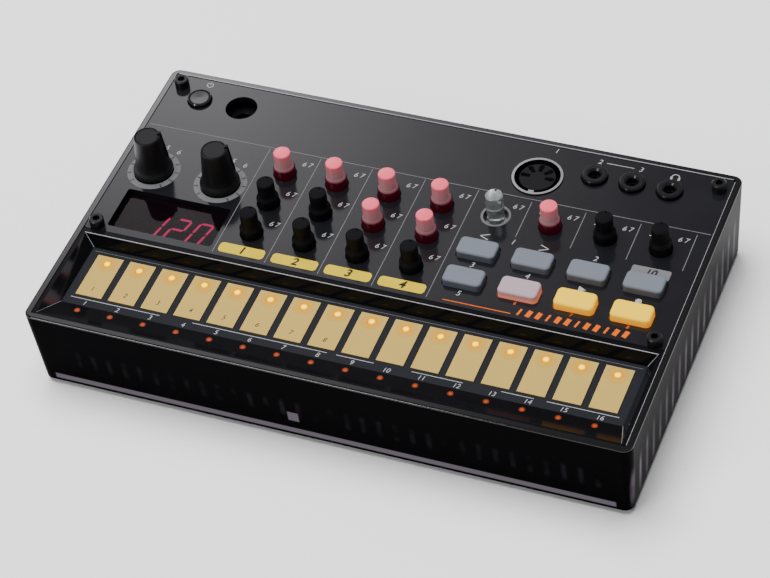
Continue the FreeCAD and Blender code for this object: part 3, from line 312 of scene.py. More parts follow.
# Top panel. A flat satin-gloss black panel let into the rim. Everything on it is screen printed: hairlines
# between the columns, yellow plates, grey scales round the large knobs, plain numbers and simple signs.
PANEL = 30.5
INK = 0.03
PRINTED = (PANEL, PANEL + INK)
HAIRLINE = 0.22
STROKE = 0.3
STRIP_LINE_HALF, STRIP_LINE_ROW = 93.6, 31.1
LONG_LINES = (-50.9, -33.4, -15.9, 1.75, 19.4)
SHORT_LINES = (37.0, 54.5, 72.1, 89.75)
COLUMN_PITCH = 17.575
COLUMNS = [LONG_LINES[0] + COLUMN_PITCH * (n + 0.5) for n in range(8)]
ROWS = (21.5, 7.9, -5.7)
DIALS = ((-83.25, 11.6), (-60.2, 11.6))
SWEEP = [math.radians(230 - 28 * n) for n in range(11)]
KEY_X = (28.2, 45.8, 63.3, 80.9)
KEY_PLATE = (KEY_X[3], 11.1)
PLATE_ROW = -13.7
RULE_ROW = -15.9
ARROW_ROW = 12.2
SIGN_ROW = -0.9
UPPER_NUMBER_ROW, LOWER_NUMBER_ROW, ORANGE_NUMBER_ROW = -0.2, -12.4, -11.7
SOCKET_SIGN_ROW = 52.3
POWER_SIGN_ROW = 53.0
PHONES_SIGN_ROW = 51.9
BUTTON_X = -81.6
JACK_X = (52.1, 64.15, 76.2)
FIGURE_SHARE = 0.7
panel_plastic = finish("panel_plastic", (0.007, 0.007, 0.009), 0.13, 1.2, 0.006, 0.2, Specular_IOR_Level=0.5)
wear(panel_plastic, "top_panel")
white_ink = finish("white_ink", (0.3, 0.3, 0.315), 0.5, 0.1, 0.01)
line_ink = finish("line_ink", (0.13, 0.13, 0.14), 0.5, 0.1, 0.01)
yellow_ink = finish("yellow_ink", (0.54, 0.39, 0.012), 0.5, 0.1, 0.01)
orange_ink = finish("orange_ink", (0.6, 0.1, 0.001), 0.6, 0.1, 0.01, 0.1, Specular_IOR_Level=0.1)
grey_ink = finish("grey_ink", (0.13, 0.13, 0.135), 0.45, 0.1, 0.01)
dark_grey_ink = finish("dark_grey_ink", (0.11, 0.111, 0.113), 0.5, 0.1, 0.01, 0.1, Specular_IOR_Level=0.2)
black_ink = finish("black_ink", (0.015, 0.015, 0.016), 0.5, 0.1, 0.01)


def stand(name, mesh, body, place):
    """Makes a named object, at a place in millimetres, that rides on a body."""
    thing = bpy.data.objects.new(name, mesh)
    thing.location = [p * MM for p in place]
    bpy.context.scene.collection.objects.link(thing)
    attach(thing, body)
    return thing


def piece(name, form, paint, body="chassis", place=(0, 0, 0), smooth=False):
    """Turns a form into a named object that rides on a body."""
    bmesh.ops.recalc_face_normals(form, faces=form.faces)
    mesh = bpy.data.meshes.new(name)
    form.to_mesh(mesh)
    form.free()
    mesh.materials.append(paint)
    if smooth:
        mesh.polygons.foreach_set("use_smooth", [True] * len(mesh.polygons))
        mesh.set_sharp_from_angle(angle=math.radians(35))
    return stand(name, mesh, body, place)


def close(form, first, second):
    """Closes the solid between two rings of as many corners."""
    form.faces.new(first)
    form.faces.new(reversed(second))
    for n in range(len(first)):
        m = (n + 1) % len(first)
        form.faces.new((first[n], second[n], second[m], first[m]))


def prism(form, outline, low, high):
    """Adds an upright solid on a closed outline, all in millimetres."""
    rings = [[form.verts.new((x * MM, y * MM, z * MM)) for x, y in outline] for z in (low, high)]
    close(form, rings[1], rings[0])


def around(x, y, radius, turn):
    """The point at a radius and turn from (x, y)."""
    return x + radius * math.cos(turn), y + radius * math.sin(turn)


def bar(x0, y0, x1, y1, width):
    """Outline of a straight stroke."""
    length = math.hypot(x1 - x0, y1 - y0)
    nx, ny = -(y1 - y0) / length * width / 2, (x1 - x0) / length * width / 2
    return [(x0 - nx, y0 - ny), (x1 - nx, y1 - ny), (x1 + nx, y1 + ny), (x0 + nx, y0 + ny)]


def circle(x, y, radius, steps):
    """Outline of a disc."""
    return [around(x, y, radius, n * math.tau / steps) for n in range(steps)]


def rounded(x, y, width, depth, corner, steps=6):
    """Outline of a rectangle with round corners."""
    points = []
    for quarter, (sx, sy) in enumerate(((1, 1), (-1, 1), (-1, -1), (1, -1))):
        corner_x, corner_y = x + sx * (width / 2 - corner), y + sy * (depth / 2 - corner)
        for n in range(steps + 1):
            points.append(around(corner_x, corner_y, corner, math.pi / 2 * (quarter + n / steps)))
    return points


def arrow(tip, reach):
    """Outlines of an open arrow head above a key."""
    return [
        bar(tip + reach, ARROW_ROW + 1.2, tip, ARROW_ROW, STROKE),
        bar(tip, ARROW_ROW, tip + reach, ARROW_ROW - 1.2, STROKE),
    ]


def ring(form, x, y, inner, outer, low, high, start=0.0, end=math.tau, steps=72):
    """Adds a flat ring, or a part of one."""
    for n in range(steps):
        a, b = (start + (end - start) * k / steps for k in (n, n + 1))
        arc = [(inner, a), (outer, a), (outer, b), (inner, b)]
        prism(form, [around(x, y, radius, turn) for radius, turn in arc], low, high)


def print_flat(name, paint, outlines, low=PANEL, lift=INK):
    """Prints closed outlines as one piece, on the panel unless low says otherwise."""
    form = bmesh.new()
    for outline in outlines:
        prism(form, outline, low, low + lift)
    return piece(name, form, paint)


def letter(name, marks, paint, height, level=PANEL, lean=0.2, weight=0.0):
    """Prints plain numbers, given as (text, x, y), as one piece. The font's figures stand FIGURE_SHARE of its
    size high, and weight thickens their strokes."""
    form = bmesh.new()
    for text, x, y in marks:
        type_face = bpy.data.curves.new("number", "FONT")
        type_face.body = text
        type_face.size = height * MM / FIGURE_SHARE
        type_face.align_x = "CENTER"
        type_face.align_y = "CENTER"
        type_face.shear = lean
        type_face.extrude = INK * MM / 2
        type_face.offset = weight * MM
        setting = bpy.data.objects.new("number", type_face)
        bpy.context.scene.collection.objects.link(setting)
        outline = bpy.data.meshes.new_from_object(setting)
        for corner in outline.vertices:
            corner.co += Vector((x * MM, y * MM, (level + INK / 2) * MM))
        form.from_mesh(outline)
        bpy.data.meshes.remove(outline)
        bpy.data.objects.remove(setting)
        bpy.data.curves.remove(type_face)
    return piece(name, form, paint)


hairlines = [bar(-STRIP_LINE_HALF, STRIP_LINE_ROW, STRIP_LINE_HALF, STRIP_LINE_ROW, HAIRLINE)]
hairlines += [bar(x, 30.6, x, -16.5, HAIRLINE) for x in LONG_LINES]
hairlines += [bar(x, 30.0, x, 14.4, HAIRLINE) for x in SHORT_LINES]
print_flat("column_hairlines", line_ink, hairlines)
print_flat("column_plates", yellow_ink, [rounded(x, PLATE_ROW, 15.1, 4.0, 1.3) for x in COLUMNS[:4]])
print_flat("key_plate", grey_ink, [rounded(*KEY_PLATE, 12.2, 4.2, 0.8)])
orange_marks = [bar(24.5, RULE_ROW, 46.0, RULE_ROW, STROKE)]
for n, x in enumerate(range(48, 83, 3)):
    orange_marks.append(bar(x, RULE_ROW, x + 0.7, RULE_ROW + 2.6, 1.5 if n % 3 else 0.7))
print_flat("orange_rule", orange_ink, orange_marks)

scales = bmesh.new()
for dial in DIALS:
    ring(scales, *dial, 6.5, 8.5, *PRINTED)
ring(scales, COLUMNS[4], ROWS[0], 3.95, 4.7, *PRINTED)
piece("dial_scales", scales, dark_grey_ink)
ticks = [bar(*around(*dial, 7.0, turn), *around(*dial, 8.4, turn), 0.36) for dial in DIALS for turn in SWEEP]
print_flat("dial_ticks", black_ink, ticks, PANEL + INK)

play_sign = [(62.2, SIGN_ROW - 1.2), (64.6, SIGN_ROW), (62.2, SIGN_ROW + 1.2)]
record_sign = circle(KEY_X[3], SIGN_ROW, 1.0, 24)
print_flat("key_signs", white_ink, arrow(26.4, 2.9) + arrow(48.5, -2.9) + [play_sign, record_sign])

signs = bmesh.new()
ring(signs, BUTTON_X, POWER_SIGN_ROW, 0.85, 1.15, *PRINTED, math.radians(125), math.radians(415), 30)
prism(signs, bar(BUTTON_X, POWER_SIGN_ROW + 0.1, BUTTON_X, POWER_SIGN_ROW + 1.4, STROKE), *PRINTED)
ring(signs, JACK_X[2], PHONES_SIGN_ROW, 1.05, 1.35, *PRINTED, 0, math.pi, 24)
for ear in (JACK_X[2] - 1.2, JACK_X[2] + 1.2):
    prism(signs, bar(ear, PHONES_SIGN_ROW, ear, PHONES_SIGN_ROW - 1.1, 0.7), *PRINTED)
prism(signs, bar(54.0, SOCKET_SIGN_ROW, 62.8, SOCKET_SIGN_ROW, HAIRLINE), *PRINTED)
piece("socket_signs", signs, white_ink)

knob_places = [(x, y) for x in COLUMNS[:4] for y in ROWS] + [(x, ROWS[0]) for x in COLUMNS[4:]]
scale_numbers = []
for x, y in knob_places:
    scale_numbers += [("3", x - 4.6, y + 5.2), ("6", x + 4.4, y + 5.2), ("7", x + 6.4, y + 5.2)]
for x, y in DIALS:
    scale_numbers += [("4", x - 4.4, y + 9.6), ("5", x, y + 10.6), ("6", x + 4.4, y + 9.6)]
letter("scale_numbers", scale_numbers, white_ink, 1.9)
socket_numbers = [("1", 37.2, 53.3), ("2", 51.8, SOCKET_SIGN_ROW), ("3", 65.0, SOCKET_SIGN_ROW)]
letter("socket_numbers", socket_numbers, white_ink, 1.9)
key_numbers = [("1", 37.0, ARROW_ROW), ("2", KEY_X[2], ARROW_ROW)]
key_numbers += [("3", KEY_X[0], UPPER_NUMBER_ROW), ("4", KEY_X[1], UPPER_NUMBER_ROW)]
key_numbers += [("5", KEY_X[0], LOWER_NUMBER_ROW)]
letter("key_numbers", key_numbers, white_ink, 2.0)
orange_numbers = [(text, x, ORANGE_NUMBER_ROW) for text, x in zip("678", KEY_X[1:])]
letter("key_numbers_orange", orange_numbers, orange_ink, 1.2)
letter("plate_number", [("10", *KEY_PLATE)], black_ink, 2.5, PANEL + INK, 0.2, 0.1)
plate_numbers = [(str(n + 1), x, PLATE_ROW) for n, x in enumerate(COLUMNS[:4])]
letter("plate_numbers", plate_numbers, black_ink, 2.9, PANEL + INK, 0.2, 0.12)

# Edges. Where the bezel's walls meet the panel and each other, and along the case's back and right rims, the
# glint on the slightly broken edge is painted as a thin pale grey rod: a painted highlight.
LIP_X, LIP_BACK, LIP_FRONT, LIP_Z = 92.9, -19.4, -54.6, 30.48
FOOT_X, FOOT_BACK, FOOT_FRONT, FOOT_Z = 90.0, -21.0, -44.8, 26.05
RIM_X, RIM_BACK, RIM_Z = 94.38, 55.38, 30.66


def rod(form, start, end, half):
    """Adds a thin square rod between two points, in millimetres."""
    a, b = Vector(start), Vector(end)
    along = (b - a).normalized()
    side = along.cross(Vector((0, 0, 1))).normalized() * half
    lift = along.cross(side).normalized() * half
    corners = ((1, 1), (-1, 1), (-1, -1), (1, -1))
    close(form, *[[form.verts.new((p + side * s + lift * t) * MM) for s, t in corners] for p in (a, b)])


# Pale grey rods, painted highlights along the edges.
edges = bmesh.new()
rod(edges, (-LIP_X, LIP_BACK, LIP_Z), (LIP_X, LIP_BACK, LIP_Z), 0.1)
for side in (-1, 1):
    rod(edges, (LIP_X * side, LIP_BACK, LIP_Z), (FOOT_X * side, FOOT_BACK, FOOT_Z), 0.09)
    rod(edges, (LIP_X * side, LIP_FRONT, LIP_Z), (FOOT_X * side, FOOT_FRONT, FOOT_Z), 0.04)
rod(edges, (-STRIP_LINE_HALF, RIM_BACK, RIM_Z), (STRIP_LINE_HALF, RIM_BACK, RIM_Z), 0.1)
rod(edges, (RIM_X, -55.0, RIM_Z), (RIM_X, 54.6, RIM_Z), 0.06)
piece("painted_edge_highlights", edges, finish("painted_edge_highlight", (0.3, 0.31, 0.33), 0.25, 0.3, 0.01))

# Touch strip. A polished black bezel drops to a grey plate with sixteen tan pads of conductive print. Each
# pad has an amber lamp behind a small window, and each step an orange-red lamp in the bezel's front slope.
# Round each pad lamp the print is painted deeper orange and glowing: painted lamp light.
TOUCH = 26.0
PAD_LIFT = 0.3
PAD_PITCH = 11.02
FIRST_PAD = -PAD_PITCH * 7.5
PADS = [FIRST_PAD + PAD_PITCH * n for n in range(16)]
PAD_LAMP_Y = -26.8
STEP_LAMP_Y = -48.2
BACK_RULE_ROW, PAD_NUMBER_ROW, PAD_RULE_ROW, STEP_NUMBER_ROW = -22.3, -37.6, -42.0, -43.6
# Pad colour by distance from its lamp: the deeper orange near the lamp is painted lamp light.
PAD_LAMPLIT_TONES = [
    (0, (0.3, 0.12, 0.0)), (1.4, (0.3, 0.12, 0.0)), (2.1, (0.42, 0.25, 0.04)), (4.0, (0.42, 0.285, 0.075)),
]
PAD_GLOW = [
    (0, (0.9, 0.4, 0.0)), (1.3, (0.8, 0.32, 0.0)), (2.0, (0.16, 0.06, 0.0)), (3.2, (0.02, 0.008, 0.0)),
    (8, (0.0, 0.0, 0.0)),
]
AMBER_GLOW = [(0, (1.0, 0.78, 0.0)), (0.6, (0.95, 0.62, 0.0)), (1.2, (0.4, 0.16, 0.0))]
STEP_GLOW = [(0, (1.0, 0.3, 0.05)), (0.35, (0.7, 0.1, 0.01)), (1.0, (0.1, 0.006, 0.0))]
GROUPS = ((-88, -58), (-47, -3), (0, 12), (24, 40), (52, 62), (66, 88))


def by_lamp(paint, socket, lamp_y, stops):
    """Feeds a colour that changes with the distance, in millimetres, from the nearest lamp of a row."""
    tree = paint.node_tree
    place = tree.nodes.new("ShaderNodeTexCoord")
    split = tree.nodes.new("ShaderNodeSeparateXYZ")
    shift = tree.nodes.new("ShaderNodeMath")
    shift.operation = "SUBTRACT"
    shift.inputs[1].default_value = FIRST_PAD * MM
    off_x = tree.nodes.new("ShaderNodeMath")
    off_x.operation = "PINGPONG"
    off_x.inputs[1].default_value = PAD_PITCH * MM
    near_x = tree.nodes.new("ShaderNodeMath")
    near_x.operation = "PINGPONG"
    near_x.inputs[1].default_value = PAD_PITCH / 2 * MM
    off_y = tree.nodes.new("ShaderNodeMath")
    off_y.operation = "SUBTRACT"
    off_y.inputs[1].default_value = lamp_y * MM
    spot = tree.nodes.new("ShaderNodeCombineXYZ")
    reach = tree.nodes.new("ShaderNodeVectorMath")
    reach.operation = "LENGTH"
    far = stops[-1][0]
    share = tree.nodes.new("ShaderNodeMapRange")
    share.inputs["From Max"].default_value = far * MM
    ramp = tree.nodes.new("ShaderNodeValToRGB")
    ramp.color_ramp.interpolation = "EASE"
    set_stops(ramp, [(distance / far, colour) for distance, colour in stops])
    tree.links.new(place.outputs["Object"], split.inputs["Vector"])
    tree.links.new(split.outputs["X"], shift.inputs[0])
    tree.links.new(shift.outputs["Value"], off_x.inputs[0])
    tree.links.new(off_x.outputs["Value"], near_x.inputs[0])
    tree.links.new(split.outputs["Y"], off_y.inputs[0])
    tree.links.new(near_x.outputs["Value"], spot.inputs["X"])
    tree.links.new(off_y.outputs["Value"], spot.inputs["Y"])
    tree.links.new(spot.outputs["Vector"], reach.inputs[0])
    tree.links.new(reach.outputs["Value"], share.inputs["Value"])
    tree.links.new(share.outputs["Result"], ramp.inputs["Fac"])
    tree.links.new(ramp.outputs["Color"], tree.nodes["Principled BSDF"].inputs[socket])


def light_up(paint, lamp_y, stops, strength):
    by_lamp(paint, "Emission Color", lamp_y, stops)
    paint.node_tree.nodes["Principled BSDF"].inputs["Emission Strength"].default_value = strength


bezel_plastic = finish("bezel_plastic", (0.004, 0.004, 0.005), 0.08, 2.0, 0.004, 0.2)
polish(bezel_plastic, "X", 0.5, 0.7, 0.08, 2.0)
wear(bezel_plastic, "touch_bezel")
plate_plastic = finish("touch_plate_print", (0.013, 0.014, 0.017), 0.5, 0.3, 0.01, Specular_IOR_Level=0.15)
wear(plate_plastic, "touch_plate")
# Pad print: tan, but painted deeper orange and given a glow round each lamp, as painted lamp light.
pad_print_and_painted_glow = finish("pad_print_and_painted_glow", (0.4, 0.25, 0.06), 0.5, 0.15, 0.01, 0.06, Specular_IOR_Level=0.2)
by_lamp(pad_print_and_painted_glow, "Base Color", PAD_LAMP_Y, PAD_LAMPLIT_TONES)
light_up(pad_print_and_painted_glow, PAD_LAMP_Y, PAD_GLOW, 1.0)
wear(pad_print_and_painted_glow, "touch_pads")
amber_lamp = finish("amber_lamp", (0.03, 0.015, 0.0), 0.4, 0.2, 0.01, 0.1, Specular_IOR_Level=0.05)
light_up(amber_lamp, PAD_LAMP_Y, AMBER_GLOW, 3.6)
wear(amber_lamp, "pad_lamps")
step_lamp = finish("step_lamp", (0.05, 0.008, 0.004), 0.25, 0.2, 0.01, 0.1, Specular_IOR_Level=0.2)
light_up(step_lamp, STEP_LAMP_Y, STEP_GLOW, 0.7)
wear(step_lamp, "step_lamps")
step_numbers = [(str(n + 1), x, STEP_NUMBER_ROW) for n, x in enumerate(PADS)]
letter("step_numbers", step_numbers, white_ink, 1.7, TOUCH)
pad_rule = [bar(start, PAD_RULE_ROW, end, PAD_RULE_ROW, HAIRLINE) for start, end in GROUPS]
print_flat("pad_rule", white_ink, pad_rule, TOUCH)
pad_numbers = [(str(n + 1), x, PAD_NUMBER_ROW) for n, x in enumerate(PADS[:8])]
letter("pad_numbers", pad_numbers, black_ink, 1.7, TOUCH + PAD_LIFT)
print_flat("pad_back_rule", dark_grey_ink, [bar(-89.0, BACK_RULE_ROW, 89.0, BACK_RULE_ROW, 0.15)], TOUCH)

# Display. A smoked pane sits behind the panel's window, over a module of four slanted seven-bar digits.
# Three of them are lit and read a plain tempo number; the bars that are off stay just visible.
DIGIT_Z, DIGIT_ROW = 26.5, -7.4
DIGIT_HEIGHT, DIGIT_WIDTH, DIGIT_LEAN = 9.0, 4.3, 0.24
BAR_HALF, BAR_GAP, BAR_POINT = 0.4, 0.16, 0.36
BARS = {
    "top": (-0.5, 1, 0.5, 1),
    "middle": (-0.5, 0, 0.5, 0),
    "bottom": (-0.5, -1, 0.5, -1),
    "upper_left": (-0.5, 1, -0.5, 0),
    "upper_right": (0.5, 1, 0.5, 0),
    "lower_left": (-0.5, 0, -0.5, -1),
    "lower_right": (0.5, 0, 0.5, -1),
}
ONE = {"upper_right", "lower_right"}
TWO = {"top", "upper_right", "middle", "lower_left", "bottom"}
ZERO = set(BARS) - {"middle"}
DIGITS = [(-82.3, set()), (-74.8, ONE), (-67.4, TWO), (-59.9, ZERO)]


def segment(middle, ends):
    """A bar with pointed ends, leaning with its digit."""
    x0, y0, x1, y1 = [e * s for e, s in zip(ends, (DIGIT_WIDTH, DIGIT_HEIGHT / 2) * 2)]
    along = Vector((x1 - x0, y1 - y0)).normalized()
    side = Vector((-along.y, along.x)) * BAR_HALF
    start, end = Vector((x0, y0)) + along * BAR_GAP, Vector((x1, y1)) - along * BAR_GAP
    taper = along * BAR_POINT
    points = [start, start + taper - side, end - taper - side, end, end - taper + side, start + taper + side]
    return [(middle + p.x + DIGIT_LEAN * p.y, DIGIT_ROW + p.y) for p in points]


pane = finish("smoked_pane", (0.003, 0.001, 0.002), 0.05, 2.0, 0.0, 0.02, Alpha=0.8, Specular_IOR_Level=0.2)
wear(pane, "display_pane")
module_face = finish("module_face", (0.02, 0.006, 0.008), 0.35, 0.3, 0.02)
wear(module_face, "digit_module")
BAR_RED = (1.0, 0.02, 0.2)
lit_bar = finish(
    "lit_bar", BAR_RED, 0.2, 0.2, 0.01, 0.1, Emission_Color=(*BAR_RED, 1), Emission_Strength=12.0
)
unlit_bar = finish("unlit_bar", (0.2, 0.05, 0.07), 0.4, 0.2, 0.01)
for is_lit, paint, name in ((True, lit_bar, "lit_bars"), (False, unlit_bar, "unlit_bars")):
    outlines = [
        segment(middle, ends)
        for middle, lit_names in DIGITS
        for bar_name, ends in BARS.items()
        if (bar_name in lit_names) == is_lit
    ]
    print_flat(name, paint, outlines, DIGIT_Z, 0.1)

# Small knobs. Each is turned from one profile with a wide collar at its foot, moulded with its shaft. Seven
# are frosted and glow red from the lamp below them, one is clear grey and the rest are satin black.
KNOB_FOOT, KNOB_TOP = -1.8, 9.2
DOT_RADIUS, DOT_FROM_AXIS = 0.38, 1.85
SHAFT = [(0, -6.8), (1.5, -6.8), (1.5, KNOB_FOOT)]
COLLARED = SHAFT + [
    (3.5, KNOB_FOOT), (3.5, 2.8), (2.72, 4.1), (2.72, 8.9), (2.45, KNOB_TOP), (0, KNOB_TOP),
]
PLAIN = SHAFT + [(2.75, KNOB_FOOT), (2.75, 8.8), (2.4, KNOB_TOP), (0, KNOB_TOP)]
LIT_TONES = [
    (3.1, (0.03, 0.0, 0.004)), (3.5, (0.2, 0.08, 0.09)), (4.6, (0.36, 0.24, 0.25)),
    (9.05, (0.55, 0.08, 0.11)),
]
LIT_GLOW = [
    (3.1, (0.016, 0.0, 0.002)), (3.5, (0.07, 0.015, 0.02)), (8.7, (0.13, 0.05, 0.055)),
    (9.1, (0.36, 0.03, 0.06)),
]
LIT = {
    "kick_click", "snare_rattle", "low_tom_pitch", "high_tom_pitch", "closed_hat_decay", "open_hat_decay",
    "tempo",
}
KNOBS = [
    ("kick_click", 0, 0), ("kick_pitch", 0, 1), ("kick_decay", 0, 2),
    ("snare_rattle", 1, 0), ("snare_pitch", 1, 1), ("snare_decay", 1, 2),
    ("low_tom_pitch", 2, 0), ("high_tom_pitch", 2, 1), ("tom_decay", 2, 2),
    ("closed_hat_decay", 3, 0), ("open_hat_decay", 3, 1), ("hat_tone", 3, 2),
    ("sample_speed", 4, 0), ("tempo", 5, 0), ("part_level", 6, 0), ("volume", 7, 0),
]


def turned(profile, steps=48):
    """A form turned round the upright axis from (radius, height) points in millimetres."""
    form = bmesh.new()
    turns = [math.tau * n / steps for n in range(steps)]
    rings = []
    for radius, height in profile:
        corners = [(radius * math.cos(t), radius * math.sin(t)) for t in turns] if radius else [(0, 0)]
        rings.append([form.verts.new((x * MM, y * MM, height * MM)) for x, y in corners])
    for lower, upper in zip(rings, rings[1:]):
        for n in range(steps):
            m = (n + 1) % steps
            if len(lower) == 1:
                form.faces.new((lower[0], upper[m], upper[n]))
            elif len(upper) == 1:
                form.faces.new((lower[n], lower[m], upper[0]))
            else:
                form.faces.new((lower[n], lower[m], upper[m], upper[n]))
    return form


def rounded_profile(points, corner=0.2, steps=3):
    """Softens the corners of a profile, except at its two ends."""
    soft = [points[0]]
    for before, here, after in zip(points, points[1:], points[2:]):
        a, b, c = Vector(before), Vector(here), Vector(after)
        reach = min(corner, (a - b).length / 2.1, (c - b).length / 2.1)
        start, end = b + (a - b).normalized() * reach, b + (c - b).normalized() * reach
        for n in range(steps + 1):
            t = n / steps
            soft.append(tuple(start * (1 - t) ** 2 + b * 2 * t * (1 - t) + end * t * t))
    soft.append(points[-1])
    return soft


def by_height(paint, socket, stops, low=KNOB_FOOT, high=KNOB_TOP):
    """Feeds a colour that changes with height in millimetres, from low to high, to one socket."""
    tree = paint.node_tree
    place = tree.nodes.new("ShaderNodeTexCoord")
    split = tree.nodes.new("ShaderNodeSeparateXYZ")
    level = tree.nodes.new("ShaderNodeMapRange")
    level.inputs["From Min"].default_value = low * MM
    level.inputs["From Max"].default_value = high * MM
    ramp = tree.nodes.new("ShaderNodeValToRGB")
    set_stops(ramp, [((height - low) / (high - low), colour) for height, colour in stops])
    tree.links.new(place.outputs["Object"], split.inputs["Vector"])
    tree.links.new(split.outputs["Z"], level.inputs["Value"])
    tree.links.new(level.outputs["Result"], ramp.inputs["Fac"])
    tree.links.new(ramp.outputs["Color"], tree.nodes["Principled BSDF"].inputs[socket])


black_satin = finish(
    "black_satin_plastic", (0.005, 0.005, 0.006), 0.5, 0.15, 0.015, 0.2, Specular_IOR_Level=0.1
)
clear_grey = finish(
    "clear_grey_plastic", (0.72, 0.76, 0.75), 0.1, 0.3, 0.005, Transmission_Weight=0.84, IOR=1.4
)
frosted = finish("frosted_lit_plastic", (0.6, 0.4, 0.4), 0.16, 0.2, 0.01, Emission_Strength=1.0)
by_height(frosted, "Base Color", LIT_TONES)
by_height(frosted, "Emission Color", LIT_GLOW)
# Flat black discs and slots of painted shade, standing in for recesses and holes.
hole_shade_black = finish("painted_hole_shade", (0.002, 0.002, 0.002), 0.6, 0.1, 0.01, 0.1, Specular_IOR_Level=0.02)
lit_dot = finish("lit_dot_paint", (0.6, 0.12, 0.14), 0.5, 0.1, 0.01)
knob_shapes = {}
for knob, column, row in KNOBS:
    paint = frosted if knob in LIT else clear_grey if knob == "sample_speed" else black_satin
    place = (COLUMNS[column], ROWS[row], PANEL)
    if paint.name not in knob_shapes:
        profile = PLAIN if paint is clear_grey else COLLARED
        grip = piece(f"{knob}_grip", turned(rounded_profile(profile)), paint, knob, place, smooth=True)
        knob_shapes[paint.name] = grip.data
    else:
        grip = stand(f"{knob}_grip", knob_shapes[paint.name], knob, place)
    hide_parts(f"{knob}_knob")
    # The sunken dot on the black and clear knobs is a flat black disc: painted shade for the recess.
    form = bmesh.new()
    prism(form, circle(0, DOT_FROM_AXIS, DOT_RADIUS, 20), KNOB_TOP - 0.02, KNOB_TOP + 0.02)
    piece(f"{knob}_dot", form, lit_dot if knob in LIT else hole_shade_black, knob, place)

# Large knobs. Tall tapered caps in satin black with a flared skirt, a sunken top disc and a pointer rib that
# runs up the side and stands above the top. Each is pushed on a plain metal shaft.
DIAL_PROFILE = [
    (3.06, 0.4), (6.05, 0.4), (6.35, 0.7), (6.3, 1.7), (5.55, 3.0), (5.15, 4.6),
    (4.2, 14.4), (4.05, 14.95), (3.6, 15.0), (3.5, 14.7), (0, 14.65),
]
DISC_RADIUS, DISC_FOOT, DISC_TOP = 3.45, 14.66, 14.78
POINTER_TURN = math.radians(32)
POINTER_HALF = 0.5
POINTER_SIDE = [(3.3, 14.5), (3.3, 15.5), (4.55, 15.5), (5.6, 4.8), (5.0, 4.8)]
dial_black = finish("dial_plastic", (0.006, 0.006, 0.007), 0.4, 0.2, 0.02, 0.2, Specular_IOR_Level=0.3)
disc_grey = finish("dial_disc", (0.014, 0.014, 0.015), 0.4, 0.2, 0.01, 0.15, Specular_IOR_Level=0.15)
shaft_metal = finish("shaft_metal", (0.6, 0.6, 0.6), 0.3, 0.1, 0.01, Metallic=1.0)
wear(shaft_metal, "repeat_time_shaft", "repeat_depth_shaft")
for name, dial in zip(("repeat_time", "repeat_depth"), DIALS):
    place = (*dial, PANEL)
    form = turned(rounded_profile(DIAL_PROFILE, 0.35, 4), 72)
    cap = piece(f"{name}_cap", form, dial_black, name, place, smooth=True)
    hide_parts(f"{name}_knob")
    disc = bmesh.new()
    prism(disc, circle(0, 0, DISC_RADIUS, 60), DISC_FOOT, DISC_TOP)
    piece(f"{name}_disc", disc, disc_grey, name, place)
    fin = bmesh.new()
    walls = []
    for offset in (-POINTER_HALF, POINTER_HALF):
        foot = around(0, 0, offset, POINTER_TURN + math.pi / 2)
        corners = [(*around(*foot, reach, POINTER_TURN), height) for reach, height in POINTER_SIDE]
        walls.append([fin.verts.new((x * MM, y * MM, z * MM)) for x, y, z in corners])
    close(fin, *walls)
    piece(f"{name}_pointer", fin, dial_black, name, place)

# Keys. Soft silicone caps with rounded edges, each held under the panel by its flange. Five are plain grey;
# the step key glows peach from below, and the play and record keys glow yellow, deeper at their front edge.
grey_silicone = finish("grey_silicone", (0.125, 0.138, 0.165), 0.55, 0.12, 0.02, 0.05, Specular_IOR_Level=0.3)
wear(grey_silicone, "part_back_key", "part_next_key", "mute_key", "function_key", "memory_key")


def glowing_silicone(name, surface, middle, edge, strength):
    """Lit silicone: the edge colour glows at the foot of the key, the middle colour on its top."""
    paint = finish(
        name, surface, 0.5, 0.12, 0.02, 0.05, Specular_IOR_Level=0.3, Emission_Strength=strength
    )
    by_height(paint, "Emission Color", [(PANEL + 0.3, edge), (PANEL + 2.3, middle)], PANEL - 1, PANEL + 2.5)
    return paint


peach = glowing_silicone("peach_silicone", (0.3, 0.24, 0.27), (0.1, 0.05, 0.06), (0.8, 0.16, 0.05), 0.7)
wear(peach, "step_mode_key")
yellow = glowing_silicone("yellow_silicone", (0.55, 0.38, 0.014), (0.85, 0.47, 0.0), (1.0, 0.24, 0.005), 0.8)
wear(yellow, "play_key", "record_key")

# Back strip. A round five-pin socket in a nickel ring, three collared jacks, a barrel inlet under its hole
# and a round power button. Their bodies stand on the jack board and show through the panel's holes.
SOCKET_ROW = 45.6
INLET_X = -67.4
DIN = (35.05, 40.85)
DIN_PIN_CIRCLE = 4.45
DIN_KEY_ROW = 34.35
PIN_HEIGHTS = (24.0, 29.9)
KEY_HEIGHTS = (29.9, 30.6)
JACK_SLEEVE_HEIGHTS = (20.0, 29.0)
INLET_SLEEVE_HEIGHTS = (18.0, 25.4)
INLET_PIN_HEIGHTS = (17.6, 25.36)
nickel =finish("nickel_plate", (0.62, 0.61, 0.6), 0.18, 0.3, 0.01, 0.08, Metallic=1.0)
wear(nickel, "din_ring")
socket_black = finish("socket_plastic", (0.005, 0.005, 0.006), 0.2, 0.3, 0.01)
wear(socket_black, "power_inlet", "mini_jacks", "board_connector")
insert_black = finish("insert_plastic", (0.008, 0.008, 0.009), 0.4, 0.3, 0.01, Specular_IOR_Level=0.15)
wear(insert_black, "din_insert")
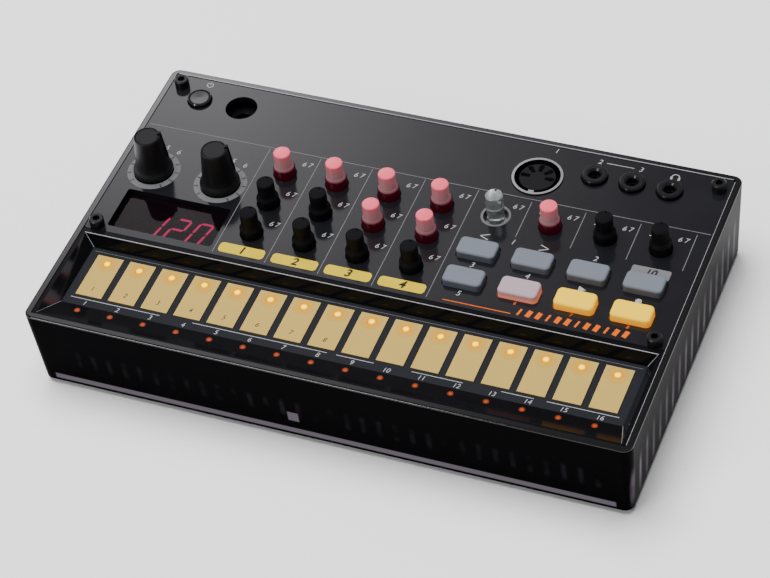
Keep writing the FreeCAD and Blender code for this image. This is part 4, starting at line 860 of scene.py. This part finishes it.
button_black = finish("button_plastic", (0.008, 0.008, 0.009), 0.1, 0.3, 0.005, Specular_IOR_Level=0.6)
wear(button_black, "power_button", "power_switch")
contacts = bmesh.new()
# Dark slots round the socket's pins are painted shade for its deep holes, laid flat on the insert.
hole_shade_slots = []
for n in range(5):
    turn = math.radians(45 * n)
    hole_shade_slots.append(bar(*around(*DIN, 2.4, turn), *around(*DIN, 5.4, turn), 1.3))
    ring(contacts, *around(*DIN, DIN_PIN_CIRCLE, turn), 0.4, 0.8, *PIN_HEIGHTS, steps=20)
for x in JACK_X:
    ring(contacts, x, SOCKET_ROW, 1.55, 1.79, *JACK_SLEEVE_HEIGHTS, steps=32)
ring(contacts, INLET_X, SOCKET_ROW, 2.85, 2.99, *INLET_SLEEVE_HEIGHTS, steps=36)
prism(contacts, circle(INLET_X, SOCKET_ROW, 0.88, 24), *INLET_PIN_HEIGHTS)
prism(contacts, rounded(DIN[0], DIN_KEY_ROW, 1.5, 0.9, 0.3), *KEY_HEIGHTS)
piece("socket_contacts", contacts, nickel)
print_flat("painted_pin_hole_shade", hole_shade_black, hole_shade_slots, PANEL, 0.02)

# Inside. Green boards, plated pots and switches, brass spacers, a paper-cone speaker and six cells with their
# contacts. Only glimpses of them show, through the sound slots and the gaps round the knobs.
plated_steel = finish("plated_steel", (0.5, 0.5, 0.5), 0.35, 0.3, 0.01, Metallic=1.0)
wear(finish("board_resist", (0.01, 0.09, 0.04), 0.35, 0.5, 0.01), "main_board", "jack_board", "touch_board")
wear(plated_steel, "pot_bodies", "key_switches", "battery_contacts")
wear(finish("spacer_brass", (0.7, 0.5, 0.2), 0.3, 0.3, 0.01, Metallic=1.0), "threaded_spacers")
wear(finish("speaker_steel", (0.03, 0.03, 0.03), 0.45, 0.4, 0.02), "speaker_frame")
wear(finish("speaker_paper", (0.03, 0.028, 0.026), 0.9, 0.3, 0.06), "speaker_cone")
wear(finish("ferrite", (0.08, 0.08, 0.085), 0.6, 0.3, 0.03), "speaker_magnet")
wear(finish("cell_sleeve", (0.25, 0.25, 0.27), 0.35, 0.6, 0.01, Metallic=0.4), "batteries")
